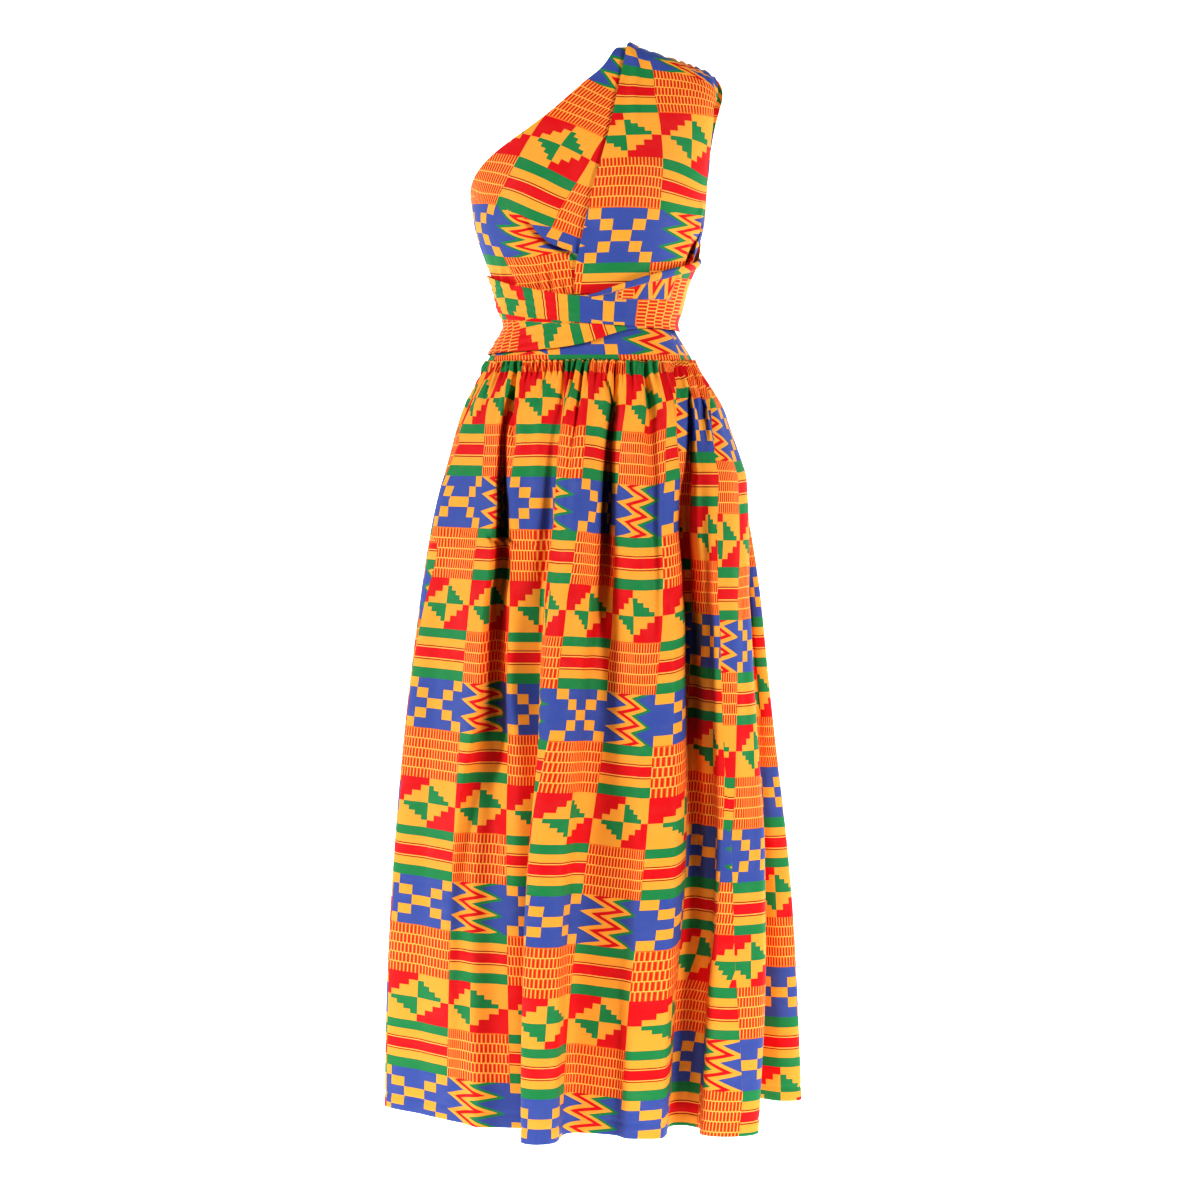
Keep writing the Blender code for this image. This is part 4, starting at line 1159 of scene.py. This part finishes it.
for name, node, side in (("left_end", "tie_end_left", -1), ("right_end", "tie_end_right", 1)):
    apart = np.linspace(*END_TURNS, 30)
    turns = KNOT_TURN + side * apart[::side]
    skirt = []
    for depth in np.linspace(*END_DEPTHS, 60):
        shares = (turns - START_TURN - skirt_swing(depth)) / 360
        skirt.append(skirt_grid([shares], [depth])[0])
    skirt = np.array(skirt)
    heights = np.linspace(*END_BAND_Z, 12)[:, None] * np.ones(len(turns))
    band_clear = END_CLEAR + BASE_CLEAR + BAND_THICKNESS
    band = [band_points(turns, heights, band_clear + out) for out in (0, END_THICKNESS)]
    hanging = [skirt + outward(skirt) * (END_CLEAR + out) for out in (0, END_THICKNESS)]
    inner, outer = (np.concatenate(pair) for pair in zip(band, hanging))
    cloth = np.stack([run_lengths(outer, 1) / COLUMN, run_lengths(outer, 0) / ROW], axis=-1)
    sew(name, outer, inner, cloth, node)

# Studio: a pale floor that curves up behind and only lights the dress, a white surround that only
# the camera sees, three large soft lights and the camera.

FLOOR_Z = -1.60 - SEAT[2]
FLOOR_HALF_WIDTH = 9
FLOOR_GLOW = 0.75
FLOOR_ROWS = ((-0.9, 0.0), (1.6, 0.0), (2.2, 0.04), (2.8, 0.20), (3.2, 0.50), (3.4, 1.0), (3.5, 6.0))
SURROUND_SIDES = 60
SURROUND_RADIUS = 11
SURROUND_HEIGHT = 9
SURROUND_BELOW = 0.001  # the floor
PALE = (0.93, 0.93, 0.93, 1)


def backdrop(name, points, faces, glow, roughness):
    """A plain glowing surface of the studio."""
    data = bpy.data.meshes.new(name)
    data.from_pydata(points, [], faces)
    surface = placed(name, data)
    material = bpy.data.materials.new("pale_" + name)
    material.use_nodes = True
    inputs = material.node_tree.nodes["Principled BSDF"].inputs
    inputs["Base Color"].default_value = PALE
    inputs["Roughness"].default_value = roughness
    inputs["Emission Color"].default_value = (1, 1, 1, 1)
    inputs["Emission Strength"].default_value = glow
    data.materials.append(material)
    return surface


floor = backdrop(
    "floor",
    [(x, y, FLOOR_Z + z) for y, z in FLOOR_ROWS for x in (-FLOOR_HALF_WIDTH, FLOOR_HALF_WIDTH)],
    [(2 * i, 2 * i + 1, 2 * i + 3, 2 * i + 2) for i in range(len(FLOOR_ROWS) - 1)],
    FLOOR_GLOW,
    0.9,
)
floor.data.shade_smooth()
floor.visible_camera = False

sides = range(SURROUND_SIDES)
corners = from_turn(np.arange(SURROUND_SIDES) * 360 / SURROUND_SIDES, SURROUND_RADIUS)
surround = backdrop(
    "surround",
    [(x, y, FLOOR_Z - SURROUND_BELOW + z) for z in (0, SURROUND_HEIGHT) for x, y in corners],
    [(i, (i + 1) % len(sides), len(sides) + (i + 1) % len(sides), len(sides) + i) for i in sides]
    + [tuple(sides), tuple(range(len(sides), 2 * len(sides)))],
    1.0,
    0.5,
)
surround.visible_diffuse = False
surround.visible_glossy = False
surround.visible_transmission = False
surround.visible_shadow = False

world = bpy.data.worlds.new("studio")
world.use_nodes = True
world.node_tree.nodes["Background"].inputs["Color"].default_value = (1, 1, 1, 1)
world.node_tree.nodes["Background"].inputs["Strength"].default_value = 0.05
bpy.context.scene.world = world


LIT_POINT = np.array([-0.09, 0.0, -0.70])  # the middle of the dress


def soft_light(name, place, size, power):
    """A large square lamp that faces the middle of the dress."""
    data = bpy.data.lights.new(name, "AREA")
    data.shape = "RECTANGLE"
    data.size = size[0]
    data.size_y = size[1]
    data.energy = power
    light = placed(name, data)
    light.location = place
    aim = LIT_POINT - np.array(place)
    turn = np.arctan2(-aim[0], aim[1])
    tilt = np.arctan2(np.hypot(aim[0], aim[1]), -aim[2])
    light.rotation_euler = (tilt, 0, turn)


soft_light("right_light", (3.2, -2.6, 0.4), (0.8, 1.4), 96)
soft_light("left_light", (-3.4, -2.2, 0.6), (0.8, 1.4), 90)
soft_light("front_light", (-1.7, -4.7, 0.8), (0.8, 0.8), 26)

SENSOR_WIDTH = 36
FOCAL_LENGTH = 93.522
CAMERA_DISTANCE = 4.108
CAMERA_ASIDE = 0.0132
CAMERA_Z = -0.4748
CAMERA_DOWN = 2.169  # degrees

camera_data = bpy.data.cameras.new("camera")
camera_data.sensor_width = SENSOR_WIDTH
camera_data.lens = FOCAL_LENGTH
camera_data.shift_y = -0.059
camera = placed("camera", camera_data)
view = np.radians(SHOWN_TURN)
camera.location = (
    -SEAT[0] + CAMERA_DISTANCE * np.sin(view) + CAMERA_ASIDE * np.cos(view),
    -CAMERA_DISTANCE * np.cos(view) + CAMERA_ASIDE * np.sin(view),
    CAMERA_Z - SEAT[2],
)
camera.rotation_euler = (np.radians(90 - CAMERA_DOWN), 0, view)
bpy.context.scene.camera = camera
bpy.context.scene.view_settings.view_transform = "Standard"
bpy.context.scene.view_settings.look = "High Contrast"
